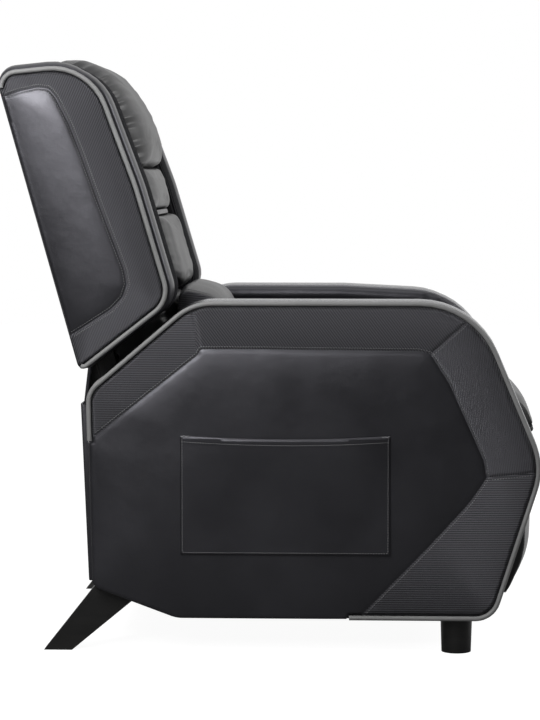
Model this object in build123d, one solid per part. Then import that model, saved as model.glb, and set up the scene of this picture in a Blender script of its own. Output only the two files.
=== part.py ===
from build123d import *
import math
import os

# Gaming recliner with a push-back backrest and a footrest that folds out of the front.
# Millimetres. X points to the front, Y to the sitter's left, Z up, the floor is at zero.

# Arms
arm_span = 760
seat_opening = 520
arm_length = 792
arm_rear = -322
arm_bottom = 63
arm_height = 557
arm_outline_shares = (
    (0.011, 0.099), (0.199, 0.0), (0.900, 0.0), (1.010, 0.487), (0.857, 1.0), (0.234, 1.0), (0.001, 0.718))
arm_radius_shares = (0.04, 0.108, 0.081, 0.215, 0.262, 0.18, 0.081)
arm_panel_thickness = 14
arm_panel_roll = 6
arm_inner_panel_thickness = 12
arm_band_thickness = 14
arm_band_crown = 3
arm_board_thickness = 12
arm_block_size = 60
piping_width = 8
piping_rear_share = 0.70
piping_bottom_share = 0.58

# Side pockets
pocket_rear = -156
pocket_length = 365
pocket_bottom = 179
pocket_height = 209
pocket_sag = 6
pocket_depth = 8.6
pocket_wall = 2.4
pocket_gusset = 4

# Feet
front_foot_setback = 143
front_foot_top_diameter = 56
front_foot_bottom_diameter = 52
rear_leg_reach = 92
rear_leg_sole = 50
rear_leg_width = 40
rear_leg_start_share = 0.02
rear_leg_end_share = 0.48

# Base between the arms
base_rail_thickness = 24
base_rail_height = 70
front_rail_x = 236
rear_panel_x = -320
rear_panel_foot_thickness = 11
rear_panel_top_thickness = 24
rear_panel_lip = 6
rear_panel_top = 380
rear_panel_bevel = 30
rear_panel_side_top = 432
rear_panel_side_inner = 213
rear_rail_bottom = 150
dust_cover_thickness = 2.5

# Slide channels and glides
channel_rear = -257
channel_length = 520
channel_bottom = 259
channel_height = 36
channel_depth = 22
channel_wall = 3
glide_length = 50
glide_reach_share = 0.34
seat_travel = 30

# Seat frame
seat_frame_rear = -264
seat_frame_length = 562
seat_frame_bottom = 240
seat_rail_height = 60
seat_rail_thickness = 24
seat_riser_width = 38
seat_nose_length = 95
seat_nose_height = 21
seat_board_z = 383
seat_board_thickness = 12
seat_board_length = 128
seat_board_half_width = 236

# Seat webbing
seat_strap_count = 5
seat_strap_spacing = 74
seat_strap_width = 60
webbing_thickness = 2

# Seat cushion
cushion_rear = -227
cushion_front = 468
cushion_top = 456
cushion_half_width = 254
cushion_crown = 7
cushion_end_draw = 14
cushion_roll_radius = 62
cushion_lip = 15
cushion_lip_radius = 14

# Mechanism
plate_thickness = 4
plate_outer = 207
plate_width = 36
plate_gap = 1
back_pivot_x = -292
back_pivot_z = 440
back_ear_radius = 20
link_pivot_x = 328
link_pivot_z = 330
link_length = 190
link_rest_angle = 8.3
link_width = 26
pin_diameter = 10
pin_head_diameter = 18
pin_head_height = 3
cross_tube_diameter = 16
cross_tube_wall = 2
bracket_length = 190
bracket_width = 32

# Footrest
footrest_board_x = 400
footrest_board_thickness = 12
footrest_board_bottom = 92
footrest_board_top = 370
footrest_half_width = 252
footrest_pad_top = 374
footrest_pad_bottom = 76
footrest_pad_depth = 55
footrest_foot_share = 0.28
footrest_belly_share = 0.2
footrest_belly_radius = 149
footrest_toe = 4
footrest_end_draw = 12
footrest_flange = 34
footrest_flange_drop = 78

# Backrest, measured along the back from its hinge and forward from the hinge line
back_rake = 15.8
back_height = 605
stile_depth = 40
stile_rear = -14
stile_width = 42
stile_outer = 202
stile_foot = 26
stile_top = 562
back_rail_height = 34
back_rail_foot = 34
webbing_count = 6
webbing_width = 50
cover_rear = -22
cover_thickness = 7.4
cover_top_radius = 34
cover_bend = 80
skirt_drop = 103
skirt_kick = 43

# Wings
wing_outer = 380
wing_board_thickness = 12
wing_board_inset = 22
wing_depth = 190
wing_outline_shares = (
    (-0.126, 0.104), (0.874, 0.232), (0.860, 0.578), (0.760, 0.952), (-0.115, 1.0))
wing_radius_shares = (0.06, 0.27, 2.2, 0.53, 0.16)
wing_panel_thickness = 14
wing_panel_roll = 7
wing_piping_width = 8
wing_piping_end_share = 0.5

# Pads of the back
pad_rear = 28.3
pad_half_width = 201
crown_station_shares = (-1, -0.9, -0.5, 0.5, 0.9, 1)
crown_draw_shares = (1, 0.36, 0, 0, 0.36, 1)
pad_draw = 26
pad_edge_radius = 14
corner_rise_start_share = 0.5
headrest_bottom = 386
headrest_height = 228
headrest_depth = 164
headrest_outline_shares = (
    (0.0, 0.0), (0.93, 0.0), (1.0, 0.42), (0.66, 0.955), (0.2, 1.0), (0.0, 0.93))
headrest_radius_shares = (0.0, 0.14, 0.5, 0.36, 0.1, 0.0)
headrest_draw = 52
upper_pad_bottom = 303
upper_pad_height = 77
upper_pad_depth = 142
welt_height = 9
welt_inset = 8
lower_pad_bottom = 154
lower_pad_height = 138
lower_pad_depth = 149
lower_pad_corner_rise = 28
lower_back_bottom = 20
lower_back_height = 130
lower_back_depth = 121
pad_seam_gap = 1

# Lumbar cushion
lumbar_half_width = 190
lumbar_depth = 90
lumbar_height = 194
lumbar_bottom = -30
lumbar_outline_shares = (
    (0.0, 0.09), (0.62, 0.0), (1.0, 0.52), (0.69, 1.0), (0.34, 1.0), (0.0, 0.84))
lumbar_radius_shares = (0.22, 0.42, 0.7, 0.3, 0.15, 0.2)
lumbar_end_draw = 9
lumbar_station_shares = (-1, -0.95, 0.95, 1)
lumbar_draw_shares = (1, 0, 0, 1)

# Clearances
soft_gap = 0.3
pin_gap = 0.3
slide_gap = 0.3
cut_overrun = 5

# Places worked out from the sizes above
arm_outer = arm_span / 2
arm_inner = seat_opening / 2
band_outer = arm_outer - arm_panel_thickness
band_inner = arm_inner + arm_inner_panel_thickness
arm_middle = (band_outer + band_inner) / 2
plate_inner = plate_outer - plate_thickness
lower_link_outer = plate_inner - plate_gap
upper_link_outer = lower_link_outer - plate_thickness - plate_gap
footrest_bracket_outer = upper_link_outer - plate_thickness - plate_gap
channel_inner = arm_inner - channel_depth
seat_rail_outer = plate_outer + seat_rail_thickness
seat_frame_top = seat_frame_bottom + seat_rail_height
seat_frame_front = seat_frame_rear + seat_frame_length
cushion_bottom = seat_frame_top + webbing_thickness + soft_gap
knee_x = link_pivot_x + link_length * math.sin(math.radians(link_rest_angle))
knee_z = link_pivot_z - link_length * math.cos(math.radians(link_rest_angle))
footrest_pivot_x = 2 * knee_x - link_pivot_x
footrest_pivot_z = link_pivot_z


def side_plane(y):
    """Plane across the chair at y, whose own x and y are the chair's X and Z."""
    return Plane.XZ.offset(-y)


def inset_corners(corners, inset):
    """Corners of an outline whose edges all move inwards by the inset."""
    moved = []
    count = len(corners)
    for i in range(count):
        previous = Vector(*corners[i - 1])
        corner = Vector(*corners[i])
        following = Vector(*corners[(i + 1) % count])
        ahead = (corner - previous).normalized()
        away = (following - corner).normalized()
        normal_in = Vector(-ahead.Y, ahead.X)
        normal_out = Vector(-away.Y, away.X)
        bisector = (normal_in + normal_out).normalized()
        moved_corner = corner + bisector * (inset / bisector.dot(normal_in))
        moved.append((moved_corner.X, moved_corner.Y))
    return moved


def outline_face(corners, radii, y, inset=0):
    """Face across the chair at y, with its corners rounded and its edge moved in."""
    placed = inset_corners(corners, inset)
    smallest = min(radii)
    rounded = [max(radius - inset, smallest / 2) for radius in radii]
    path = FilletPolyline(*[(x, y, z) for x, z in placed], radius=rounded, close=True)
    return Face(Wire(path.edges()))


def outline_slab(corners, radii, y_low, y_high, inset=0):
    """Plate of one outline between two places across the chair."""
    return extrude(outline_face(corners, radii, y_low, inset), amount=y_high - y_low, dir=(0, 1, 0))


def outline_loft(corners, radii, stations):
    """Ruled body through one outline, given as pairs of a place across and an inset."""
    return loft([outline_face(corners, radii, y, inset) for y, inset in stations], ruled=True)


def crowned_body(section_of, half_width, shares=crown_station_shares, draws=crown_draw_shares):
    """Ruled body through the sections that a function gives for each place across and its draw."""
    sections = []
    for share, draw_share in zip(shares, draws):
        corners, radii = section_of(abs(share), draw_share)
        points = [(x, share * half_width, z) for x, z in corners]
        path = FilletPolyline(*points, radius=radii, close=True)
        sections.append(Face(Wire(path.edges())))
    return loft(sections, ruled=True)


def side_box(x_low, x_high, y_low, y_high, z_low, z_high):
    """Box between named faces."""
    size = (x_high - x_low, y_high - y_low, z_high - z_low)
    middle = ((x_high + x_low) / 2, (y_high + y_low) / 2, (z_high + z_low) / 2)
    return Pos(*middle) * Box(*size)


def side_cylinder(x, z, diameter, y_low, y_high):
    """Round bar across the chair."""
    return extrude(side_plane(y_high) * Pos(x, z) * Circle(diameter / 2), amount=y_high - y_low)


def strap(x_start, z_start, x_end, z_end, width, y_low, y_high):
    """Flat bar with round ends between two points."""
    length = math.hypot(x_end - x_start, z_end - z_start)
    angle = math.degrees(math.atan2(z_end - z_start, x_end - x_start))
    middle = Pos((x_start + x_end) / 2, (z_start + z_end) / 2)
    sketch = middle * Rot(0, 0, angle) * SlotCenterToCenter(length, width)
    return extrude(side_plane(y_high) * sketch, amount=y_high - y_low)


def shares_to_corners(shares, x_start, x_size, z_start, z_size):
    """Corners of an outline from shares of its two sizes."""
    return [(x_start + x_share * x_size, z_start + z_share * z_size) for x_share, z_share in shares]


def both_sides(shape):
    """The piece on the left and its mirror image on the right."""
    return {"left": shape, "right": mirror(shape, about=Plane.XZ)}


def pair(shape):
    """Two separate pieces, one on each side."""
    return Compound(children=[*shape.solids(), *mirror(shape, about=Plane.XZ).solids()])


# Arms

arm_corners = shares_to_corners(arm_outline_shares, arm_rear, arm_length, arm_bottom, arm_height)
arm_radii = [share * arm_height for share in arm_radius_shares]


def arm_outer_panel():
    """Padded outer panel, rolled over at its edge, inside the ring of piping."""
    flat_end = arm_outer - arm_panel_roll
    rolled = piping_width + arm_panel_roll
    stations = ((band_outer, piping_width), (flat_end, piping_width), (arm_outer, rolled))
    return outline_loft(arm_corners, arm_radii, stations)


def arm_inner_panel():
    """Padded panel that faces the seat."""
    flat_end = arm_inner + arm_panel_roll
    stations = ((arm_inner, arm_panel_roll), (flat_end, arm_band_crown), (band_inner, arm_band_crown))
    return outline_loft(arm_corners, arm_radii, stations)


def arm_band():
    """Band round the edge of the arm, crowned across its width."""
    stations = ((band_inner, arm_band_crown), (arm_middle, 0), (band_outer, arm_band_crown))
    body = outline_loft(arm_corners, arm_radii, stations)
    return body - inside_band(band_inner, band_outer)


def cut_corners(corners, radii):
    """Corners of an outline whose rounds are cut straight, from their beginnings to their ends."""
    cut = []
    count = len(corners)
    for i in range(count):
        corner = Vector(*corners[i])
        ahead = (corner - Vector(*corners[i - 1])).normalized()
        away = (Vector(*corners[(i + 1) % count]) - corner).normalized()
        reach = radii[i] * math.tan(math.acos(ahead.dot(away)) / 2)
        for point in (corner - ahead * reach, corner + away * reach):
            cut.append((point.X, point.Y))
    return cut


def inside_band(y_low, y_high):
    """Slab with cut corners that fills the band between two places across."""
    inset = arm_band_thickness + arm_band_crown
    sketch = Polygon(*cut_corners(inset_corners(arm_corners, inset), arm_radii), align=None)
    return extrude(side_plane(y_high) * sketch, amount=y_high - y_low)


def arm_frame():
    """Two boards with four blocks between them, inside the band."""
    inset = arm_band_thickness + arm_band_crown
    board_inner = inside_band(band_inner, band_inner + arm_board_thickness)
    board_outer = inside_band(band_outer - arm_board_thickness, band_outer)
    between = inside_band(band_inner + arm_board_thickness, band_outer - arm_board_thickness)
    rear = arm_rear + inset
    front = arm_rear + arm_length
    top = arm_bottom + arm_height
    low_block = side_box(rear, front, 0, arm_outer, arm_bottom, arm_bottom + arm_block_size + inset)
    high_block = side_box(rear, front, 0, arm_outer, top - inset - arm_block_size, top)
    rear_block = side_box(arm_rear, rear + arm_block_size, 0, arm_outer, arm_bottom, top)
    front_block = side_box(front - inset - arm_block_size, front + inset, 0, arm_outer, arm_bottom, top)
    rails = [between & low_block, between & high_block]
    posts = [(between & block) - low_block - high_block for block in (rear_block, front_block)]
    return Compound(children=[piece.solid() for piece in [board_inner, board_outer] + rails + posts])


def arm_piping():
    """Piping round the outer edge, left open along the rear and the rear of the bottom."""
    edge = band_outer + piping_width
    ring = outline_slab(arm_corners, arm_radii, band_outer, edge)
    ring -= outline_slab(arm_corners, arm_radii, band_outer, edge, piping_width - soft_gap)
    opening_top = arm_bottom + arm_height * piping_rear_share
    opening_front = arm_rear + arm_length * piping_bottom_share
    behind = arm_rear - arm_block_size
    opening = Polygon(
        (behind, opening_top), (behind, 0), (opening_front, 0), (opening_front, arm_bottom + arm_block_size),
        (arm_rear + arm_block_size, opening_top), align=None)
    return ring - extrude(side_plane(arm_outer) * opening, amount=arm_outer)


def side_pocket():
    """Flat pocket, open at the top, with its front wall held off the panel by gussets."""
    front_wall_inner = arm_outer + pocket_depth
    front_wall_outer = front_wall_inner + pocket_wall
    pocket_front = pocket_rear + pocket_length
    pocket_top = pocket_bottom + pocket_height
    middle = pocket_rear + pocket_length / 2
    with BuildLine() as edge:
        Line((pocket_rear, pocket_bottom), (pocket_front, pocket_bottom))
        Line((pocket_front, pocket_bottom), (pocket_front, pocket_top))
        ThreePointArc(
            (pocket_front, pocket_top), (middle, pocket_top - pocket_sag), (pocket_rear, pocket_top))
        Line((pocket_rear, pocket_top), (pocket_rear, pocket_bottom))
    outside = make_face(edge.line)
    body = extrude(side_plane(front_wall_outer) * outside, amount=front_wall_outer - arm_outer)
    space = side_box(
        pocket_rear + pocket_gusset, pocket_front - pocket_gusset, arm_outer - cut_overrun, front_wall_inner,
        pocket_bottom + pocket_gusset, pocket_top + cut_overrun)
    return body - space


# Feet


def rear_leg_slope():
    """Ends of the arm's rear bottom edge."""
    return Vector(*arm_corners[0]), Vector(*arm_corners[1])


def rear_leg():
    """Flat-sided leg, raked to the rear, seated on the sloping bottom edge of the arm."""
    slope_rear, slope_front = rear_leg_slope()
    run = slope_front - slope_rear
    below = Vector(run.Y, -run.X).normalized() * soft_gap
    top_rear = slope_rear + run * rear_leg_start_share + below
    top_front = slope_rear + run * rear_leg_end_share + below
    sole_rear = top_rear.X - rear_leg_reach
    sketch = Polygon(
        (sole_rear, 0), (sole_rear + rear_leg_sole, 0), (top_front.X, top_front.Y), (top_rear.X, top_rear.Y),
        align=None)
    half = rear_leg_width / 2
    return extrude(side_plane(arm_middle + half) * sketch, amount=rear_leg_width)


def front_foot():
    """Round foot that tapers to the floor."""
    height = arm_bottom - soft_gap
    foot = Cone(front_foot_bottom_diameter / 2, front_foot_top_diameter / 2, height)
    return Pos(arm_rear + arm_length - front_foot_setback, arm_middle, height / 2) * foot


# Base between the arms


def front_rail():
    """Rail that ties the arms together at the front."""
    low = arm_bottom + dust_cover_thickness + soft_gap
    return side_box(
        front_rail_x, front_rail_x + base_rail_thickness, -arm_inner, arm_inner, low, low + base_rail_height)


def rear_rail():
    """Rail that ties the arms together at the rear and carries the rear panel."""
    return side_box(
        rear_panel_x + soft_gap, rear_panel_x + base_rail_thickness, -arm_inner, arm_inner, rear_rail_bottom,
        rear_rail_bottom + base_rail_height)


def rear_panel():
    """Padded panel that closes the rear, raised at both sides of the back's skirt."""
    bottom = arm_corners[0][1] - cover_thickness
    outer_top = rear_panel_x - rear_panel_top_thickness
    lip = outer_top + rear_panel_lip
    middle = Polygon(
        (rear_panel_x - rear_panel_foot_thickness, bottom), (rear_panel_x, bottom),
        (rear_panel_x, rear_panel_top - rear_panel_bevel), (lip, rear_panel_top),
        (outer_top, rear_panel_top), align=None)
    side = Polygon(
        (outer_top, rear_panel_top), (rear_panel_x, rear_panel_top - rear_panel_bevel),
        (rear_panel_x, rear_panel_side_top - rear_panel_bevel), (lip, rear_panel_side_top),
        (outer_top, rear_panel_side_top), align=None)
    half = arm_inner - soft_gap
    body = extrude(side_plane(half) * middle, amount=2 * half)
    raised = extrude(side_plane(half) * side, amount=half - rear_panel_side_inner)
    return body + raised + mirror(raised, about=Plane.XZ)


def dust_cover():
    """Cloth under the base, from the rear panel down the slope and on to the front rail."""
    slope_rear, slope_front = rear_leg_slope()
    front = front_rail_x + base_rail_thickness
    rear = rear_panel_x + soft_gap
    sketch = Polygon(
        (rear, slope_rear.Y), (slope_front.X, arm_bottom), (front, arm_bottom),
        (front, arm_bottom + dust_cover_thickness), (slope_front.X, arm_bottom + dust_cover_thickness),
        (rear, slope_rear.Y + dust_cover_thickness), align=None)
    half = arm_inner - soft_gap
    return extrude(side_plane(half) * sketch, amount=2 * half)


def slide_channel():
    """Steel channel on the inner side of the arm, open towards the seat."""
    top = channel_bottom + channel_height
    front = channel_rear + channel_length
    body = side_box(channel_rear, front, channel_inner, arm_inner, channel_bottom, top)
    space = side_box(
        channel_rear - cut_overrun, front + cut_overrun, channel_inner - cut_overrun,
        arm_inner - channel_wall, channel_bottom + channel_wall, top - channel_wall)
    return body - space


# Seat


def seat_glides():
    """Four blocks that run in the channels."""
    low = channel_bottom + channel_wall + slide_gap
    high = channel_bottom + channel_height - channel_wall - slide_gap
    middle = channel_rear + channel_length / 2 - seat_travel / 2
    reach = channel_length * glide_reach_share
    blocks = None
    for x in (middle - reach, middle + reach):
        block = side_box(
            x - glide_length / 2, x + glide_length / 2, seat_rail_outer,
            arm_inner - channel_wall - slide_gap, low, high)
        blocks = block if blocks is None else blocks + block
    return pair(blocks)


def seat_side_rail():
    """Side rail that rises at the front to carry the board under the seat's front roll."""
    riser_rear = seat_frame_front - seat_riser_width
    nose_front = seat_frame_front + seat_nose_length
    nose_bottom = seat_board_z - seat_nose_height
    sketch = Polygon(
        (seat_frame_rear, seat_frame_bottom), (seat_frame_front, seat_frame_bottom),
        (seat_frame_front, nose_bottom), (nose_front, nose_bottom), (nose_front, seat_board_z),
        (riser_rear, seat_board_z), (riser_rear, seat_frame_top), (seat_frame_rear, seat_frame_top),
        align=None)
    return extrude(side_plane(seat_rail_outer) * sketch, amount=seat_rail_thickness)


def seat_cross_rail(x):
    """Rail across the seat frame, starting at x."""
    return side_box(x, x + seat_rail_thickness, -plate_inner, plate_inner, seat_frame_bottom, seat_frame_top)


def seat_front_board():
    """Board under the front roll of the cushion."""
    rear = seat_frame_front - seat_riser_width
    return side_box(
        rear, rear + seat_riser_width + seat_board_length, -seat_board_half_width, seat_board_half_width,
        seat_board_z, seat_board_z + seat_board_thickness)


def seat_webbing():
    """Straps from the rear to the front cross rail, under the cushion."""
    straps = []
    for i in range(seat_strap_count):
        y = (i - (seat_strap_count - 1) / 2) * seat_strap_spacing
        half = seat_strap_width / 2
        straps.append(side_box(
            seat_frame_rear, seat_frame_front - seat_riser_width, y - half, y + half, seat_frame_top,
            seat_frame_top + webbing_thickness))
    return Compound(children=[band.solid() for band in straps])


def seat_cushion():
    """Crowned cushion whose front rolls down over the edge of its board."""
    board_rear = seat_frame_front - seat_riser_width - soft_gap
    board_front = seat_frame_front + seat_board_length + soft_gap
    board_top = seat_board_z + seat_board_thickness + soft_gap
    lip_bottom = board_top - cushion_lip

    def section(share, draw_share):
        drop = cushion_crown * share + cushion_end_draw * draw_share
        front = cushion_front - cushion_end_draw * draw_share
        top = cushion_top + cushion_crown - drop
        corners = [
            (cushion_rear, cushion_bottom), (board_rear, cushion_bottom), (board_rear, board_top),
            (board_front, board_top), (board_front, lip_bottom), (front, lip_bottom), (front, top),
            (cushion_rear, top)]
        return corners, [0, 0, 0, 0, 0, cushion_lip_radius, cushion_roll_radius - drop, 0]

    return crowned_body(section, cushion_half_width)


# Mechanism


def mechanism_plate():
    """Side plate that carries the back's hinge at its rear and the footrest's links at its front."""
    beam_z = seat_frame_bottom + plate_width / 2 + plate_thickness
    beam_rear = back_pivot_x + back_ear_radius / 2
    beam = strap(beam_rear, beam_z, link_pivot_x, beam_z, plate_width, plate_inner, plate_outer)
    rear = strap(
        back_pivot_x, back_pivot_z, beam_rear, beam_z, 2 * back_ear_radius, plate_inner, plate_outer)
    front = strap(link_pivot_x, link_pivot_z, link_pivot_x, beam_z, plate_width, plate_inner, plate_outer)
    body = beam + rear + front
    body -= side_cylinder(back_pivot_x, back_pivot_z, pin_diameter, plate_inner, plate_outer)
    return body - side_cylinder(link_pivot_x, link_pivot_z, pin_diameter, plate_inner, plate_outer)


def pivot_bolt(x, z, y_low, y_high):
    """Bolt with a six-sided head and nut, between the outer faces of what it joins."""
    head = Pos(x, z) * RegularPolygon(pin_head_diameter / 2, 6)
    shank = side_cylinder(x, z, pin_diameter, y_low, y_high)
    nut = extrude(side_plane(y_low) * head, amount=pin_head_height)
    bolt_head = extrude(side_plane(y_high + pin_head_height) * head, amount=pin_head_height)
    return shank + nut + bolt_head


def bracket_bore(x, z, y_low, y_high):
    """Bore that turns on a pin."""
    return side_cylinder(x, z, pin_diameter + 2 * pin_gap, y_low, y_high)


def back_pivot_pins():
    """Pins on which the back turns, one on each side."""
    low = plate_inner - plate_gap - plate_thickness - pin_gap
    return pair(pivot_bolt(back_pivot_x, back_pivot_z, low, plate_outer))


def link_pivot_pins():
    """Pins at the rear end of the lower links."""
    low = plate_inner - plate_gap - plate_thickness - pin_gap
    return pair(pivot_bolt(link_pivot_x, link_pivot_z, low, plate_outer))


def lower_link():
    """Link from the side plate down to the knee."""
    low = lower_link_outer - plate_thickness
    body = strap(link_pivot_x, link_pivot_z, knee_x, knee_z, link_width, low, lower_link_outer)
    body -= bracket_bore(link_pivot_x, link_pivot_z, low, lower_link_outer)
    return body - side_cylinder(knee_x, knee_z, pin_diameter, low, lower_link_outer)


def link_cross_tube():
    """Tube that ties the two lower links together."""
    x = (link_pivot_x + knee_x) / 2
    z = (link_pivot_z + knee_z) / 2
    reach = lower_link_outer - plate_thickness
    outside = side_cylinder(x, z, cross_tube_diameter, -reach, reach)
    return outside - side_cylinder(x, z, cross_tube_diameter - 2 * cross_tube_wall, -reach, reach)


def knee_pins():
    """Pins at the knee between lower and upper links."""
    return pair(pivot_bolt(knee_x, knee_z, upper_link_outer - plate_thickness - pin_gap, lower_link_outer))


def upper_link():
    """Link from the knee up to the footrest."""
    low = upper_link_outer - plate_thickness
    body = strap(knee_x, knee_z, footrest_pivot_x, footrest_pivot_z, link_width, low, upper_link_outer)
    body -= bracket_bore(knee_x, knee_z, low, upper_link_outer)
    return body - bracket_bore(footrest_pivot_x, footrest_pivot_z, low, upper_link_outer)


# Footrest


def footrest_bracket():
    """Ear on the pivot with a flange on the board."""
    low = footrest_bracket_outer - plate_thickness
    ear = strap(
        footrest_pivot_x, footrest_pivot_z, footrest_pivot_x, footrest_pivot_z - link_width, link_width, low,
        footrest_bracket_outer)
    tongue = side_box(
        footrest_pivot_x, footrest_board_x, low, footrest_bracket_outer,
        footrest_pivot_z - link_width - link_width / 2, footrest_pivot_z + link_width / 2)
    flange = side_box(
        footrest_board_x - plate_thickness, footrest_board_x, footrest_bracket_outer - footrest_flange,
        footrest_bracket_outer, footrest_pivot_z - footrest_flange_drop, footrest_pivot_z + link_width)
    return ear + tongue + flange - side_cylinder(
        footrest_pivot_x, footrest_pivot_z, pin_diameter, low, footrest_bracket_outer)


def footrest_pins():
    """Pins between the upper links and the footrest's brackets."""
    low = footrest_bracket_outer - plate_thickness
    return pair(pivot_bolt(footrest_pivot_x, footrest_pivot_z, low, upper_link_outer + pin_gap))


def footrest_board():
    """Board behind the footrest's pad."""
    inset = footrest_half_width - footrest_end_draw
    return side_box(
        footrest_board_x, footrest_board_x + footrest_board_thickness, -inset, inset, footrest_board_bottom,
        footrest_board_top)


def footrest_pad():
    """Crowned pad whose front curves back towards the floor."""
    rear = footrest_board_x + footrest_board_thickness + soft_gap
    height = footrest_pad_top - footrest_pad_bottom
    belly = footrest_pad_bottom + height * footrest_foot_share

    def section(share, draw_share):
        draw = footrest_end_draw * draw_share
        front = rear + footrest_pad_depth - draw
        corners = [
            (rear, footrest_pad_bottom + draw), (rear + footrest_toe, footrest_pad_bottom + draw),
            (front - footrest_pad_depth * footrest_belly_share, belly), (front, footrest_pad_top - draw / 2),
            (rear, footrest_pad_top - draw / 2)]
        return corners, [0, 0, footrest_belly_radius, pad_edge_radius, 0]

    return crowned_body(section, footrest_half_width)


# Backrest, built upright with its hinge at zero, then leaned back and set on the hinge


def on_hinge(shape):
    """Lean a piece of the back and set it on its hinge."""
    return Pos(back_pivot_x, 0, back_pivot_z) * Rot(0, -back_rake, 0) * shape


def back_stile():
    """Upright of the back frame, recessed at its foot for the bracket."""
    front = stile_rear + stile_depth
    body = side_box(stile_rear, front, stile_outer - stile_width, stile_outer, stile_foot, stile_top)
    recess_top = bracket_length + soft_gap
    recess = side_box(
        stile_rear - cut_overrun, front + cut_overrun, stile_outer - plate_thickness,
        stile_outer + cut_overrun, stile_foot - cut_overrun, recess_top)
    return on_hinge(body - recess)


def back_bracket():
    """Steel bracket on the stile that turns on the hinge pin."""
    low = stile_outer - plate_thickness
    middle = stile_rear + stile_depth / 2
    body = strap(0, 0, middle, stile_foot + bracket_width / 2, bracket_width, low, stile_outer)
    body += strap(
        middle, stile_foot + bracket_width / 2, middle, bracket_length - bracket_width / 2, bracket_width,
        low, stile_outer)
    return on_hinge(body - bracket_bore(0, 0, low, stile_outer))


def back_rail(foot):
    """Rail between the stiles, starting at its foot."""
    half = stile_outer - stile_width
    front = stile_rear + stile_depth
    return on_hinge(side_box(stile_rear, front, -half, half, foot, foot + back_rail_height))


def back_webbing():
    """Straps across the front of the stiles."""
    front = stile_rear + stile_depth
    half = stile_outer - plate_thickness
    first = back_rail_foot + back_rail_height
    spread = stile_top - first - webbing_width
    straps = []
    for i in range(webbing_count):
        foot = first + spread * i / (webbing_count - 1)
        straps.append(side_box(front, front + webbing_thickness, -half, half, foot, foot + webbing_width))
    return Compound(children=[on_hinge(band).solid() for band in straps])


def back_cover():
    """Cover of the rear, hooked over the top, with a skirt that runs down to the rear panel."""
    inner = cover_rear + cover_thickness
    hook_inner = back_height - cover_thickness
    hook_end = pad_rear - soft_gap
    skirt_foot = cover_bend - skirt_drop
    corners = [
        (cover_rear - skirt_kick, skirt_foot), (inner - skirt_kick, skirt_foot - cover_thickness / 3),
        (inner, cover_bend), (inner, hook_inner), (hook_end, hook_inner), (hook_end, back_height),
        (cover_rear, back_height), (cover_rear, cover_bend)]
    radii = [0, 0, 0, cover_top_radius - cover_thickness, 0, 0, cover_top_radius, 0]
    half = stile_outer - soft_gap
    points = [(x, half, z) for x, z in corners]
    path = FilletPolyline(*points, radius=radii, close=True)
    return on_hinge(extrude(Face(Wire(path.edges())), amount=2 * half, dir=(0, -1, 0)))


wing_corners = shares_to_corners(wing_outline_shares, 0, wing_depth, 0, back_height)
wing_radii = [share * wing_depth for share in wing_radius_shares]


def wing_board():
    """Plywood board inside the wing, screwed to the stile."""
    sketch = Polygon(*inset_corners(wing_corners, wing_board_inset), align=None)
    place = side_plane(stile_outer + wing_board_thickness)
    return on_hinge(extrude(place * sketch, amount=wing_board_thickness))


def wing():
    """Padded wing with its outer panel rolled over inside the ring of piping."""
    inner = stile_outer + wing_board_thickness + soft_gap
    edge = wing_outer - wing_panel_thickness
    flat_end = wing_outer - wing_panel_roll
    block_stations = ((inner, wing_panel_roll), (inner + wing_panel_roll, 0), (edge, 0))
    block = outline_loft(wing_corners, wing_radii, block_stations)
    rolled = wing_piping_width + wing_panel_roll
    panel_stations = ((edge, wing_piping_width), (flat_end, wing_piping_width), (wing_outer, rolled))
    return on_hinge(block + outline_loft(wing_corners, wing_radii, panel_stations))


def wing_piping():
    """Piping round the top, front and bottom of the wing."""
    edge = wing_outer - wing_panel_thickness + soft_gap
    ring = outline_slab(wing_corners, wing_radii, edge, edge + wing_piping_width)
    ring -= outline_slab(
        wing_corners, wing_radii, edge, edge + wing_piping_width, wing_piping_width - soft_gap)
    foot = wing_corners[0][1] + wing_piping_width * wing_piping_end_share
    opening = side_box(
        cover_rear - wing_depth, cover_rear + wing_piping_width * 2, 0, wing_outer, foot,
        back_height - wing_radii[-1] * 2)
    return on_hinge(ring - opening)


def plain_pad(bottom, height, depth, corner_rise=0):
    """Pad between two seams, crowned across and rounded at its front edges."""

    def section(share, draw_share):
        front = pad_rear + depth - pad_draw * draw_share
        rise = corner_rise * max(0, (share - corner_rise_start_share) / (1 - corner_rise_start_share))
        low = bottom + rise
        high = bottom + height
        corners = [(pad_rear, low), (front, low), (front, high), (pad_rear, high)]
        return corners, [0, pad_edge_radius, pad_edge_radius, 0]

    return on_hinge(crowned_body(section, pad_half_width))


def headrest_cushion():
    """Puffy headrest that swells forward and over the top of the back."""

    def section(share, draw_share):
        draw = headrest_draw * draw_share
        corners = shares_to_corners(
            headrest_outline_shares, pad_rear, headrest_depth, headrest_bottom, headrest_height)
        drawn = [(x - draw * min(1, (x - pad_rear) / (2 * headrest_draw)), z) for x, z in corners]
        return drawn, [radius_share * headrest_depth for radius_share in headrest_radius_shares]

    return on_hinge(crowned_body(section, pad_half_width))


def pad_welt():
    """Narrow band between the upper and the lower pad."""

    def section(share, draw_share):
        front = pad_rear + upper_pad_depth - welt_inset - pad_draw * draw_share
        low = lower_pad_bottom + lower_pad_height + pad_seam_gap
        high = low + welt_height
        return [(pad_rear, low), (front, low), (front, high), (pad_rear, high)], [0, 0, 0, 0]

    return on_hinge(crowned_body(section, pad_half_width))


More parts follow.
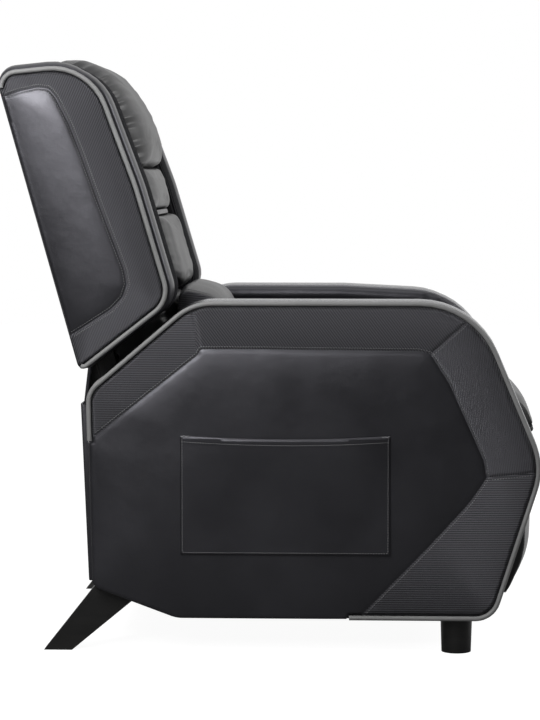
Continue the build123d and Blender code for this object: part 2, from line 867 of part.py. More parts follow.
def lumbar_cushion():
    """Separate cushion against the lower back, with flat end caps."""
    rear = pad_rear + lower_back_depth + soft_gap

    def section(share, draw_share):
        draw = lumbar_end_draw * draw_share
        corners = shares_to_corners(lumbar_outline_shares, rear, lumbar_depth, lumbar_bottom, lumbar_height)
        radii = [radius_share * lumbar_depth - draw for radius_share in lumbar_radius_shares]
        return inset_corners(corners, draw), radii

    return on_hinge(crowned_body(section, lumbar_half_width, lumbar_station_shares, lumbar_draw_shares))


def all_pieces():
    """Every piece of the chair by its name."""
    pieces = {
        "front_rail": front_rail(),
        "rear_rail": rear_rail(),
        "rear_panel": rear_panel(),
        "dust_cover": dust_cover(),
        "seat_glides": seat_glides(),
        "seat_front_rail": seat_cross_rail(seat_frame_front - seat_rail_thickness),
        "seat_rear_rail": seat_cross_rail(seat_frame_rear),
        "seat_front_board": seat_front_board(),
        "seat_webbing": seat_webbing(),
        "seat_cushion": seat_cushion(),
        "back_pivot_pins": back_pivot_pins(),
        "link_pivot_pins": link_pivot_pins(),
        "link_cross_tube": link_cross_tube(),
        "knee_pins": knee_pins(),
        "footrest_pins": footrest_pins(),
        "footrest_board": footrest_board(),
        "footrest_pad": footrest_pad(),
        "back_top_rail": back_rail(stile_top - back_rail_height),
        "back_bottom_rail": back_rail(back_rail_foot),
        "back_webbing": back_webbing(),
        "back_cover": back_cover(),
        "headrest_cushion": headrest_cushion(),
        "upper_pad": plain_pad(upper_pad_bottom, upper_pad_height, upper_pad_depth),
        "pad_welt": pad_welt(),
        "lower_pad": plain_pad(lower_pad_bottom, lower_pad_height, lower_pad_depth, lower_pad_corner_rise),
        "lower_back_pad": plain_pad(lower_back_bottom, lower_back_height, lower_back_depth),
        "lumbar_cushion": lumbar_cushion(),
        "rear_legs": pair(rear_leg()),
        "front_feet": pair(front_foot()),
        "slide_channels": pair(slide_channel()),
        "lower_links": pair(lower_link()),
        "upper_links": pair(upper_link()),
        "footrest_brackets": pair(footrest_bracket()),
        "back_brackets": pair(back_bracket()),
        "wing_boards": pair(wing_board()),
    }
    handed = {
        "arm_outer_panel": arm_outer_panel(),
        "arm_inner_panel": arm_inner_panel(),
        "arm_band": arm_band(),
        "arm_frame": arm_frame(),
        "arm_piping": arm_piping(),
        "side_pocket": side_pocket(),
        "seat_side_rail": seat_side_rail(),
        "mechanism_plate": mechanism_plate(),
        "back_stile": back_stile(),
        "wing": wing(),
        "wing_piping": wing_piping(),
    }
    for name, shape in handed.items():
        for side, handed_shape in both_sides(shape).items():
            pieces[f"{name}_{side}"] = handed_shape
    return pieces


os.makedirs("parts", exist_ok=True)
for piece_name, piece in all_pieces().items():
    export_step(piece, f"parts/{piece_name}.step")
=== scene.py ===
import math

import bmesh
import bpy
import numpy as np
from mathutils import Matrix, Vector
from mathutils.bvhtree import BVHTree
from mathutils.geometry import delaunay_2d_cdt
from mathutils.kdtree import KDTree


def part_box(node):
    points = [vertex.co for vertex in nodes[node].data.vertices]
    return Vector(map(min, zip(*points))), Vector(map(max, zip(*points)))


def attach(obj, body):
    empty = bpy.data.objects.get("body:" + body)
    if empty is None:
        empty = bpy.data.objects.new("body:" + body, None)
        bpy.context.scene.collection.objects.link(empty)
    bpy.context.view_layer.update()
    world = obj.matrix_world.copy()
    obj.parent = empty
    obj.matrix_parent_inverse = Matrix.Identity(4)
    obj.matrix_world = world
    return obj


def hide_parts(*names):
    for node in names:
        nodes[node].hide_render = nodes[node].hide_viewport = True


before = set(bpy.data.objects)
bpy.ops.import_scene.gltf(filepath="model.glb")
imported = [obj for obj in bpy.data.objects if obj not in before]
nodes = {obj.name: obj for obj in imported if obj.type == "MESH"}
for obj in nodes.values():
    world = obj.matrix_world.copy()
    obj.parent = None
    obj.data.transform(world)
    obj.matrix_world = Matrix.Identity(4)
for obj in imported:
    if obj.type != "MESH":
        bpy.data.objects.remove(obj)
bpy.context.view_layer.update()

# Camera
# The photograph was taken from the sitter's right with a long lens, a little above the arms
# and a little in front of the chair's middle.
camera_place = (0.1751, -4.5878, 0.8390)
camera_down = 4.344
camera_turn = 2.378
camera_lens = 121.92
camera = bpy.data.objects.new("camera", bpy.data.cameras.new("camera"))
bpy.context.scene.collection.objects.link(camera)
camera.location = camera_place
camera.rotation_euler = (math.radians(90 - camera_down), 0, math.radians(camera_turn))
camera.data.lens = camera_lens
camera.data.sensor_width = 36
bpy.context.scene.camera = camera
bpy.context.scene.view_settings.view_transform = "Standard"

# Studio
# White floor and a white far side, which gloss sees too; the near side is a dim room, brighter
# upwards. A soft lamp stands close to the backrest, a wide one beside the arm, one high in front
# and one above.
studio_white = (1, 1, 1, 1)
room_low = 0.01
room_high = 0.42
room_span = (-0.05, 0.9)
far_directions = (-0.15, 0.3)
far_floor = (-0.35, 0.45)
floor_grey = (0.2, 0.2, 0.2, 1)
floor_glow = 0.95
floor_half = 9.0
lamps = (
    ("rear_lamp", (-0.74, -1.50, 1.54), (-0.36, -0.38, 0.95), 0.60, 0.70, 30),
    ("side_lamp", (-0.65, -2.50, 1.30), (-0.15, -0.38, 0.60), 1.1, 0.6, 24),
    ("front_lamp", (3.2, 0.4, 2.4), (0.0, 0.0, 0.7), 1.6, 1.6, 55),
    ("top_lamp", (-0.2, -0.5, 3.4), (0.0, -0.1, 0.6), 2.6, 2.2, 30),
)


def add_node(tree, kind, inputs=None, **settings):
    """Add a shader or geometry node, with its settings and with values or links on its inputs."""
    fresh = tree.nodes.new(kind)
    for key, value in settings.items():
        setattr(fresh, key, value)
    for key, value in (inputs or {}).items():
        if isinstance(value, bpy.types.NodeSocket):
            tree.links.new(value, fresh.inputs[key])
        else:
            fresh.inputs[key].default_value = value
    return fresh


def maths(tree, operation, *values):
    """Result of a calculation with one or two values."""
    return add_node(tree, "ShaderNodeMath", dict(enumerate(values)), operation=operation).outputs[0]


def between(tree, value, ends, low=0, high=1):
    """Value carried from between two ends to between low and high."""
    return add_node(
        tree, "ShaderNodeMapRange",
        {"Value": value, "From Min": ends[0], "From Max": ends[1], "To Min": low, "To Max": high}).outputs[0]


def seen_white(tree, place_along_y, far_side):
    """Share of the studio white: all for the camera and through glass, the far side for gloss."""
    rays = add_node(tree, "ShaderNodeLightPath").outputs
    gloss = maths(tree, "MULTIPLY", rays["Is Glossy Ray"], between(tree, place_along_y, far_side))
    seen = maths(tree, "MAXIMUM", rays["Is Camera Ray"], gloss)
    return maths(tree, "MAXIMUM", seen, rays["Is Transmission Ray"])


def along_y(tree, source):
    """Second part of a vector."""
    return add_node(tree, "ShaderNodeSeparateXYZ", {0: source}).outputs[1]


world = bpy.data.worlds.new("studio")
world.use_nodes = True
bpy.context.scene.world = world
world_tree = world.node_tree
world_tree.nodes.clear()
direction = add_node(world_tree, "ShaderNodeTexCoord").outputs["Generated"]
upward = add_node(world_tree, "ShaderNodeSeparateXYZ", {0: direction}).outputs[2]
room = between(world_tree, upward, room_span, room_low, room_high)
around = add_node(world_tree, "ShaderNodeBackground", {"Color": studio_white, "Strength": room})
white = add_node(world_tree, "ShaderNodeBackground", {"Color": studio_white, "Strength": 1})
seen = seen_white(world_tree, along_y(world_tree, direction), far_directions)
mixed = add_node(world_tree, "ShaderNodeMixShader", {0: seen, 1: around.outputs[0], 2: white.outputs[0]})
add_node(world_tree, "ShaderNodeOutputWorld", {0: mixed.outputs[0]})

floor_paint = bpy.data.materials.new("floor_paint")
floor_paint.use_nodes = True
floor_tree = floor_paint.node_tree
floor_tree.nodes.clear()
matte = add_node(floor_tree, "ShaderNodeBsdfDiffuse", {"Color": floor_grey})
floor_place = add_node(floor_tree, "ShaderNodeTexCoord").outputs["Object"]
seen = seen_white(floor_tree, along_y(floor_tree, floor_place), far_floor)
shining = maths(floor_tree, "MULTIPLY", seen, floor_glow)
glow = add_node(floor_tree, "ShaderNodeEmission", {"Color": studio_white, "Strength": shining})
both = add_node(floor_tree, "ShaderNodeAddShader", {0: matte.outputs[0], 1: glow.outputs[0]})
add_node(floor_tree, "ShaderNodeOutputMaterial", {0: both.outputs[0]})

floor_mesh = bpy.data.meshes.new("floor")
floor_mesh.from_pydata(
    [(-floor_half, -floor_half, 0), (floor_half, -floor_half, 0), (floor_half, floor_half, 0),
     (-floor_half, floor_half, 0)], [], [(0, 1, 2, 3)])
floor = bpy.data.objects.new("floor", floor_mesh)
floor_mesh.materials.append(floor_paint)
bpy.context.scene.collection.objects.link(floor)

for lamp_name, place, aim, width, height, power in lamps:
    lamp = bpy.data.objects.new(lamp_name, bpy.data.lights.new(lamp_name, "AREA"))
    lamp.data.shape = "RECTANGLE"
    lamp.data.size = width
    lamp.data.size_y = height
    lamp.data.energy = power
    lamp.location = place
    lamp.rotation_euler = (Vector(aim) - Vector(place)).to_track_quat("-Z", "Y").to_euler()
    lamp.visible_camera = False
    bpy.context.scene.collection.objects.link(lamp)

# Arm frames
# Two plywood boards with pine blocks between them inside each arm, glued and stapled. The
# upholstery hides them.
ply_light = (0.52, 0.38, 0.22, 1)
ply_dark = (0.34, 0.22, 0.11, 1)


def plain_material(name):
    """New material with its tree and its main shader."""
    made = bpy.data.materials.new(name)
    made.use_nodes = True
    return made, made.node_tree, made.node_tree.nodes["Principled BSDF"]


def object_place(tree, stretch=(1, 1, 1)):
    """Place on the object in metres, stretched along its axes."""
    place = add_node(tree, "ShaderNodeTexCoord").outputs["Object"]
    return add_node(tree, "ShaderNodeMapping", {"Vector": place, "Scale": stretch}).outputs[0]


def ramp(tree, value, *stops):
    """Colours by value: pairs of a place and a colour."""
    fresh = add_node(tree, "ShaderNodeValToRGB", {0: value})
    band = fresh.color_ramp
    while len(band.elements) < len(stops):
        band.elements.new(0.5)
    for element, (place, color) in zip(band.elements, stops):
        element.position = place
        element.color = color
    return fresh.outputs[0]


def bumped(tree, height, strength, distance, **beneath):
    """Normal of a surface with a small relief."""
    inputs = {"Height": height, "Strength": strength, "Distance": distance}
    return add_node(tree, "ShaderNodeBump", inputs | beneath).outputs[0]


def wood_material(name, light, dark, gloss, shine=0.5):
    """Long grain along the piece, with finer pores across it."""
    made, tree, shader = plain_material(name)
    grain = add_node(
        tree, "ShaderNodeTexNoise", {"Vector": object_place(tree, (6, 60, 60)), "Scale": 1, "Detail": 6})
    tree.links.new(ramp(tree, grain.outputs[0], (0.35, dark), (0.65, light)), shader.inputs["Base Color"])
    pores = add_node(tree, "ShaderNodeTexNoise", {"Vector": object_place(tree, (90, 900, 900)), "Scale": 1})
    tree.links.new(bumped(tree, pores.outputs[0], 0.5, 0.0003), shader.inputs["Normal"])
    shader.inputs["Roughness"].default_value = gloss
    shader.inputs["Specular IOR Level"].default_value = shine
    return made


def paint(node_names, material):
    """Give carried-over CAD nodes their material."""
    for node_name in node_names:
        data = nodes[node_name].data
        data.materials.clear()
        data.materials.append(material)


def left_and_right(name):
    """Names of the left and the right node."""
    return [f"{name}_left", f"{name}_right"]


frame_wood = wood_material("frame_wood", ply_light, ply_dark, 0.7)
paint(left_and_right("arm_frame"), frame_wood)

# Arm upholstery
# Synthetic leather over foam. Outside, a smooth field is sewn to a border with an embossed
# twill, cut in sections; a grey piping closes the outer edge. A crowned band goes round the arm.
arm_corners = (
    (-0.3133, 0.1181, 0.0223), (-0.1644, 0.063, 0.0602), (0.3908, 0.063, 0.0451),
    (0.4779, 0.3343, 0.1198), (0.3567, 0.620, 0.1459), (-0.1367, 0.620, 0.1003),
    (-0.3212, 0.4629, 0.0451))
arm_field = (
    (-0.330, 0.366), (-0.3159, 0.3763), (-0.1239, 0.5285), (-0.1211, 0.5372), (-0.0173, 0.5372),
    (0.2578, 0.5348), (0.2785, 0.5294), (0.3109, 0.4783), (0.3418, 0.4102), (0.3716, 0.3439),
    (0.3763, 0.3149), (0.3512, 0.2777), (0.3367, 0.2597), (0.2733, 0.1905), (0.2007, 0.1150),
    (0.1450, 0.0560))
field_rear = (-0.40, 0.0)
arm_cross_seams = (
    ((-0.1211, 0.5372), (-0.1420, 0.6300)), ((0.2785, 0.5294), (0.3800, 0.6200)),
    ((0.3763, 0.3149), (0.4800, 0.3251)))
rear_cut = 45
top_cut = -8
front_cut = 128
low_cut = 45
arm_outer = 0.380
arm_inner = 0.260
band_outer = 0.366
band_inner = 0.272
band_rings = 17
band_gap = 0.0004
band_sink = 0.0035
band_crown = 0.0055
band_turn_in = 0.0165
arm_piping_width = 0.0085
piping_gap = 0.0005
bare_edge = 0.0015
bare_rear_edge = -0.0030
bare_rear_line = -0.36
left_slump = 0.010
slump_from = (0.12, 0.40)
slump_run = (0.2, 0.15)
arm_piping_rear_end = 0.374
arm_piping_bottom_end = 0.137
panel_roll = 0.002
cap_spacing = 0.0045
seam_depth = 0.0020
seam_width = 0.0020
fall_blur = 0.009
panel_swell = 0.003
arm_falls = (0.0105, 0.060, 0.0035, 0.035)
inner_inset = 0.003
inner_roll = 0.006
inner_spacing = 0.008
inner_falls = (0.002, 0.015, 0.002, 0.015)
inner_stitch_side = 0.004
top_seam_inset = 0.030
row_step = 0.004
stitch_pitch = 0.0046
stitch_length = 0.0034
thread_width = 0.0011
stitch_side = 0.0042
stitch_lift = 0.0002
stitch_margin = 0.004
leather_black = (0.0050, 0.0050, 0.0058, 1)
leather_worn = (0.0080, 0.0080, 0.0092, 1)
twill_dark = (0.0012, 0.0012, 0.0014, 1)
twill_light = (0.0340, 0.0340, 0.0372, 1)
cool_sheen = (0.92, 0.91, 1, 1)
plain_sheen = (1, 1, 1, 1)
piping_grey = (0.120, 0.120, 0.120, 1)
piping_pale = (0.150, 0.150, 0.150, 1)
thread_dark = (0.130, 0.130, 0.135, 1)
thread_pale = (0.180, 0.180, 0.185, 1)


def leather_bump(tree, pebble=1100, depth=0.00014):
    """Fine pebbled grain over soft, wide unevenness."""
    place = object_place(tree)
    cells = add_node(tree, "ShaderNodeTexVoronoi", {"Vector": place, "Scale": pebble})
    grain = bumped(tree, cells.outputs[0], 0.45, depth)
    waves = add_node(tree, "ShaderNodeTexNoise", {"Vector": place, "Scale": 22, "Detail": 3})
    return bumped(tree, waves.outputs[0], 0.35, 0.0022, Normal=grain)


def leather_material(name, dark, worn, gloss=0.36, shine=0.50, tint=cool_sheen):
    """Smooth synthetic leather with a fine grain and slightly uneven gloss."""
    made, tree, shader = plain_material(name)
    place = object_place(tree)
    cloud = add_node(tree, "ShaderNodeTexNoise", {"Vector": place, "Scale": 9, "Detail": 5})
    tree.links.new(ramp(tree, cloud.outputs[0], (0.35, dark), (0.75, worn)), shader.inputs["Base Color"])
    low = (gloss - 0.04,) * 3 + (1,)
    high = (gloss + 0.05,) * 3 + (1,)
    tree.links.new(ramp(tree, cloud.outputs[0], (0.3, low), (0.7, high)), shader.inputs["Roughness"])
    tree.links.new(leather_bump(tree), shader.inputs["Normal"])
    shader.inputs["Specular IOR Level"].default_value = shine
    shader.inputs["Specular Tint"].default_value = tint
    return made


def twill_material(name, dark, light, tow=0.0014, gloss=0.36, shine=0.45, depth=0.0006):
    """Leather embossed with a two-over-two twill that follows the piece's own UV map, in metres."""
    made, tree, shader = plain_material(name)
    uv = add_node(tree, "ShaderNodeUVMap", uv_map="cut").outputs[0]
    scaled = add_node(
        tree, "ShaderNodeVectorMath", {0: uv, 1: (1 / tow, 1 / tow, 0)}, operation="MULTIPLY").outputs[0]
    split = add_node(tree, "ShaderNodeSeparateXYZ", {0: scaled}).outputs
    cells = [maths(tree, "FLOOR", split[i]) for i in (0, 1)]
    turn = maths(tree, "FLOORED_MODULO", maths(tree, "ADD", *cells), 4)
    over = maths(tree, "LESS_THAN", turn, 1.5)
    waves = []
    for i in (0, 1):
        angle = maths(tree, "MULTIPLY", maths(tree, "FRACT", split[i]), math.pi)
        waves.append(maths(tree, "SINE", angle))
    height = add_node(
        tree, "ShaderNodeMix", {0: over, 2: waves[0], 3: waves[1]}, data_type="FLOAT").outputs[0]
    tree.links.new(ramp(tree, over, (0, dark), (1, light)), shader.inputs["Base Color"])
    tree.links.new(bumped(tree, height, 0.6, depth), shader.inputs["Normal"])
    shader.inputs["Roughness"].default_value = gloss
    shader.inputs["Specular IOR Level"].default_value = shine
    shader.inputs["Specular Tint"].default_value = cool_sheen
    return made


smooth_leather = leather_material("smooth_leather", leather_black, leather_worn)
cushion_leather = leather_material(
    "cushion_leather", leather_black, leather_worn, 0.42, 0.46, plain_sheen)
twill_leather = twill_material("twill_leather", twill_dark, twill_light)
taut_twill = twill_material("taut_twill", twill_dark, twill_light, 0.0014, 0.24, 0.9, 0.00012)
piping_leather = leather_material(
    "piping_leather", piping_grey, piping_pale, 0.5, 0.3, plain_sheen)
thread = leather_material("thread", thread_dark, thread_pale, 0.6, 0.3, plain_sheen)


def evenly(path, step=None, closed=False, count=None):
    """The same path in even steps, or with a number of points."""
    path = np.asarray(path, float)
    if closed:
        path = np.vstack([path, path[:1]])
    lengths = np.r_[0, np.cumsum(np.linalg.norm(np.diff(path, axis=0), axis=1))]
    count = count or max(2, int(round(lengths[-1] / step)))
    places = np.linspace(0, lengths[-1], count + 1)
    spread = np.stack([np.interp(places, lengths, path[:, i]) for i in range(path.shape[1])], 1)
    return spread[:-1] if closed else spread


def rounded_outline(corners, step=None, count=None):
    """Closed outline whose corners are rounded to their radii."""
    path = []
    total = len(corners)
    for i, (x, z, radius) in enumerate(corners):
        corner = np.array((x, z))
        back = np.array(corners[i - 1][:2]) - corner
        ahead = np.array(corners[(i + 1) % total][:2]) - corner
        back /= np.linalg.norm(back)
        ahead /= np.linalg.norm(ahead)
        half = math.acos(max(-1, min(1, back @ ahead))) / 2
        middle = (back + ahead) / np.linalg.norm(back + ahead)
        centre = corner + middle * radius / math.sin(half)
        start = corner + back * radius / math.tan(half) - centre
        end = corner + ahead * radius / math.tan(half) - centre
        sweep = math.atan2(start[0] * end[1] - start[1] * end[0], start @ end)
        for k in range(9):
            angle = sweep * k / 8
            turned = (
                start[0] * math.cos(angle) - start[1] * math.sin(angle),
                start[0] * math.sin(angle) + start[1] * math.cos(angle))
            path.append(centre + turned)
    return evenly(path, step, True, count)


def outward(loop):
    """Directions that point out of a loop that runs counter-clockwise."""
    ahead = np.roll(loop, -1, 0) - np.roll(loop, 1, 0)
    ahead /= np.linalg.norm(ahead, axis=1)[:, None]
    return np.stack([ahead[:, 1], -ahead[:, 0]], 1)


def beside(row, distance):
    """The same row, moved to its left."""
    ahead = np.gradient(row, axis=0)
    ahead /= np.linalg.norm(ahead, axis=1)[:, None]
    return row + np.stack([-ahead[:, 1], ahead[:, 0]], 1) * distance


def kept_inside(row, loop, margin):
    """The points of a row that lie inside a loop by a margin."""
    return row[inside_loop(row, loop - outward(loop) * margin)]


def distance_to(points, paths):
    """Distance from each point to the nearest of several paths."""
    nearest = np.full(len(points), 1e3)
    for path in paths:
        for a, b in zip(path[:-1], path[1:]):
            run = b - a
            share = np.clip(((points - a) @ run) / max(run @ run, 1e-12), 0, 1)
            nearest = np.minimum(nearest, np.linalg.norm(points - a - share[:, None] * run, axis=1))
    return nearest


def inside_loop(points, loop):
    """Which points lie inside a closed loop."""
    found = np.zeros(len(points), bool)
    for a, b in zip(loop, np.roll(loop, -1, 0)):
        crosses = (a[1] > points[:, 1]) != (b[1] > points[:, 1])
        at = a[0] + (points[:, 1] - a[1]) / (b[1] - a[1] + 1e-15) * (b[0] - a[0])
        found ^= crosses & (points[:, 0] < at)
    return found


def cut_cap(loop, seams, spacing):
    """Even triangles inside a loop, with each seam along their edges. The loop's points come first."""
    seam_rows = [evenly(seam, spacing) for seam in seams]
    sides = [beside(row, side) for row in seam_rows for side in (seam_width, -seam_width)]
    low, high = loop.min(0), loop.max(0)
    ticks = [np.arange(low[i], high[i], spacing) for i in (0, 1)]
    grid = np.stack(np.meshgrid(*ticks), -1)
    grid[1::2, :, 0] += spacing / 2
    grid = grid.reshape(-1, 2)
    closed = np.vstack([loop, loop[:1]])
    grid = grid[inside_loop(grid, loop) & (distance_to(grid, [closed]) > spacing * 0.6)]
    if seam_rows:
        grid = grid[distance_to(grid, seam_rows) > seam_width + spacing * 0.5]
        side = np.vstack(sides)
        side = side[inside_loop(side, loop) & (distance_to(side, [closed]) > spacing * 0.4)]
        side = side[distance_to(side, seam_rows) > seam_width * 0.9]
        grid = np.vstack([grid, side])
    points = [Vector(p) for p in loop]
    edges = [(i, (i + 1) % len(loop)) for i in range(len(loop))]
    for row in seam_rows:
        first = len(points)
        points += [Vector(p) for p in row]
        edges += [(first + i, first + i + 1) for i in range(len(row) - 1)]
    points += [Vector(p) for p in grid]
    found = delaunay_2d_cdt(points, edges, [list(range(len(loop)))], 1, 1e-6)
    return np.array([tuple(p) for p in found[0]]), [tuple(f) for f in found[2]]


def rim_of(triangles):
    """Corners along the open edge of a sheet of triangles, in order."""
    sides = {}
    for triangle in triangles:
        for a, b in zip(triangle, triangle[1:] + triangle[:1]):
            sides[(a, b)] = True
    following = {a: b for a, b in sides if (b, a) not in sides}
    start = next(iter(following))
    order = [start]
    while following[order[-1]] != start:
        order.append(following[order[-1]])
    return order


def put(name, mesh):
    """Object at the origin that carries a mesh."""
    made = bpy.data.objects.new(name, mesh)
    bpy.context.scene.collection.objects.link(made)
    return made


def new_piece(name, points, faces, material):
    """Mesh object at the origin, smooth, with faces pointing outwards."""
    mesh = bpy.data.meshes.new(name)
    mesh.from_pydata([tuple(p) for p in points], [], faces)
    mesh.materials.append(material)
    body = bmesh.new()
    body.from_mesh(mesh)
    bmesh.ops.recalc_face_normals(body, faces=body.faces)
    body.to_mesh(mesh)
    body.free()
    mesh.shade_smooth()
    return put(name, mesh)


def seamed_panel(name, loop, seams, low, high, roll, spacing, to_place, falls, field=None):
    """Closed padded panel whose cap falls from a field to its edge, rolled over to a flat back.

    Returns the piece and a function that gives the cap's height at places on it.
    """
    edge_fall, edge_reach, seam_fall, seam_reach = falls
    closed = [np.vstack([loop, loop[:1]])]
    coarse = [np.vstack([loop[::5], loop[:1]])]
    field = loop if field is None else field
    seam_paths = [np.asarray(seam, float) for seam in seams]

    def height_of(flat):
        edge = distance_to(flat, closed)
        seam = distance_to(flat, seam_paths)
        height = high + roll * (np.sqrt(1 - (1 - np.clip(edge / roll, 0, 1)) ** 2) - 1)
        for k in range(9):
            turn = k * math.pi / 4
            moved = flat + fall_blur * min(k, 1) * np.array((math.cos(turn), math.sin(turn)))
            height = height - edge_fall / 9 * np.exp(-distance_to(moved, coarse) / edge_reach)
            from_seam = np.where(inside_loop(moved, field), distance_to(moved, seam_paths[:1]), 0)
            height = height - seam_fall / 9 * np.exp(-from_seam / seam_reach)
        return np.maximum(height - seam_depth * np.exp(-(seam / seam_width)), low + 0.001)

    flat, triangles = cut_cap(loop, seams, spacing)
    rim = rim_of(triangles)
    points = [to_place(x, h, z) for (x, z), h in zip(flat, height_of(flat))]
    faces = list(triangles)
    foot = len(points)
    points += [to_place(flat[i][0], low, flat[i][1]) for i in rim]
    count = len(rim)
    for k in range(count):
        faces.append((rim[(k + 1) % count], rim[k], foot + k, foot + (k + 1) % count))
    faces.append(tuple(foot + k for k in range(count)))
    return new_piece(name, points, faces, smooth_leather), height_of


def laid_on(row, height_of, to_place, lift=stitch_lift):
    """A row of points on a panel, a little above it."""
    return [to_place(x, h + lift, z) for (x, z), h in zip(row, height_of(row))]


def ring_faces(total, around, joined=False):
    """Faces between rings of points, which are joined to a ring again or closed at both ends."""
    faces = []
    for r in range(total if joined else total - 1):
        following = (r + 1) % total
        for k in range(around):
            n = (k + 1) % around
            faces.append((r * around + k, r * around + n, following * around + n, following * around + k))
    if not joined:
        faces.append(tuple(range(around)))
        faces.append(tuple((total - 1) * around + k for k in range(around)))
    return faces


def lay_cut(piece, place_of):
    """UV map named cut, in metres, from a function of a face's middle that gives its two directions."""
    mesh = piece.data
    layer = mesh.uv_layers.get("cut") or mesh.uv_layers.new(name="cut")
    for face in mesh.polygons:
        along, up = place_of(face.center)
        for k in face.loop_indices:
            point = mesh.vertices[mesh.loops[k].vertex_index].co
            layer.data[k].uv = (point.dot(along), point.dot(up))


def paint_beyond(piece, loop, place_of):
    """Give the faces outside a loop the piece's second material."""
    middles = np.array([place_of(face.center) for face in piece.data.polygons])
    piece.data.polygons.foreach_set("material_index", (~inside_loop(middles, loop)).astype(np.int32))


def lay_ring_cut(piece, loop, across):
    """UV map named cut on rings of points: along the loop, and across by each ring's place."""
    mesh = piece.data
    layer = mesh.uv_layers.new(name="cut")
    diagonal = 0.7071
    count = len(loop)
    steps = np.linalg.norm(np.roll(loop, -1, 0) - loop, axis=1)
    lengths = np.r_[0, np.cumsum(steps)]
    for face in mesh.polygons:
        corners = [mesh.loops[k].vertex_index for k in face.loop_indices]
        wraps = max(c % count for c in corners) - min(c % count for c in corners) > count / 2
        for k, corner in zip(face.loop_indices, corners):
            if len(corners) > 4:
                point = mesh.vertices[corner].co
                s, t = point.x, point.z
            else:
                turn = count if wraps and corner % count < count / 2 else 0
                s, t = lengths[corner % count + turn], across[corner // count]
            layer.data[k].uv = ((s + t) * diagonal, (t - s) * diagonal)


def belongs(piece, body, slot, *node_names):
    """Ride on a body and stand for CAD nodes. The slot is not used."""
    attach(piece, body)
    if node_names:
        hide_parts(*node_names)
    return piece


def new_tree(name, inputs):
    """Geometry Nodes tree with named inputs; returns the tree and its input sockets."""
    tree = bpy.data.node_groups.new(name, "GeometryNodeTree")
    for label, kind in inputs:
        tree.interface.new_socket(name=label, in_out="INPUT", socket_type=kind)
    tree.interface.new_socket(name="Made", in_out="OUTPUT", socket_type="NodeSocketGeometry")
    return tree, add_node(tree, "NodeGroupInput").outputs


def finish_tree(tree, instances, finish):
    """Realize what a tree has placed and give it its material."""
    solid = add_node(tree, "GeometryNodeRealizeInstances", {"Geometry": instances}).outputs[0]
    smooth = add_node(tree, "GeometryNodeSetShadeSmooth", {"Geometry": solid}).outputs[0]
    painted = add_node(tree, "GeometryNodeSetMaterial", {"Geometry": smooth, "Material": finish}).outputs[0]
    add_node(tree, "NodeGroupOutput", {"Made": painted})


thread_row, given = new_tree("thread_row", (
    ("Path", "NodeSocketGeometry"), ("Pitch", "NodeSocketFloat"), ("Length", "NodeSocketFloat"),
    ("Width", "NodeSocketFloat"), ("Finish", "NodeSocketMaterial")))
path_curve = add_node(thread_row, "GeometryNodeMeshToCurve", {"Mesh": given["Path"]}).outputs[0]
spaced = add_node(
    thread_row, "GeometryNodeResampleCurve", {"Curve": path_curve, "Length": given["Pitch"]},
    mode="LENGTH").outputs[0]
tangent = add_node(thread_row, "GeometryNodeInputTangent").outputs[0]
turned = add_node(thread_row, "FunctionNodeAlignRotationToVector", {"Vector": tangent}, axis="X").outputs[0]
size = add_node(
    thread_row, "ShaderNodeCombineXYZ",
    {0: given["Length"], 1: given["Width"], 2: given["Width"]}).outputs[0]
bead = add_node(
    thread_row, "GeometryNodeMeshUVSphere", {"Segments": 6, "Rings": 4, "Radius": 0.5}).outputs[0]
laid = add_node(
    thread_row, "GeometryNodeInstanceOnPoints",
    {"Points": spaced, "Instance": bead, "Rotation": turned, "Scale": size}).outputs[0]
finish_tree(thread_row, laid, given["Finish"])


def grown(name, points, edges, tree, inputs):
    """Plain mesh object that a tree makes from points and edges."""
    mesh = bpy.data.meshes.new(name + "_path")
    mesh.from_pydata([tuple(p) for p in points], edges, [])
    seed = put(name + "_path", mesh)
    modifier = seed.modifiers.new("making", "NODES")
    modifier.node_group = tree
    for item in tree.interface.items_tree:
        if item.in_out == "INPUT" and item.name in inputs:
            modifier[item.identifier] = inputs[item.name]
    made = bpy.data.meshes.new_from_object(seed.evaluated_get(bpy.context.evaluated_depsgraph_get()))
    bpy.data.objects.remove(seed)
    made.name = name
    return put(name, made)


def sew(name, rows, body, slot, sizes=(stitch_pitch, stitch_length, thread_width), finish=thread):
    """Stitches along rows of points, on one body; their sizes are pitch, length and width."""
    points, edges = [], []
    for row in rows:
        first = len(points)
        points += list(row)
        edges += [(first + i, first + i + 1) for i in range(len(row) - 1)]
    inputs = dict(zip(("Pitch", "Length", "Width"), sizes))
    return belongs(grown(name, points, edges, thread_row, inputs | {"Finish": finish}), body, slot)


def cord(name, line, width, material):
    """Round cord through points, closed at its ends."""
    tube = bpy.data.curves.new(name, "CURVE")
    tube.dimensions = "3D"
    tube.bevel_depth = width / 2
    tube.bevel_resolution = 3
    tube.use_fill_caps = True
    spline = tube.splines.new("POLY")
    spline.points.add(len(line) - 1)
    for k, p in enumerate(line):
        spline.points[k].co = (*p, 1)
    tube.materials.append(material)
    return put(name, tube)


def kept_run(loop, keep):
    """The part of a closed loop that is kept, in one run."""
    start = int(np.argmax(keep & ~np.roll(keep, 1)))
    return np.roll(loop, -start, 0)[np.roll(keep, -start)]


def twill_directions(angle):
    """The two directions of a cut turned by an angle in the plane of the side."""
    a = math.radians(angle)
    return Vector((math.cos(a), 0.0, math.sin(a))), Vector((-math.sin(a), 0.0, math.cos(a)))


def arm_section(x, z):
    """Angle at which each section of the arm's border was cut."""
    if x < -0.13 and z < 0.60 - 0.1 * (x + 0.13):
        return rear_cut
    if z > 0.53 and x < 0.2785 + 1.1 * (z - 0.5294):
        return top_cut
    if z > 0.3149 + 0.1 * (x - 0.3763):
        return front_cut
    return low_cut


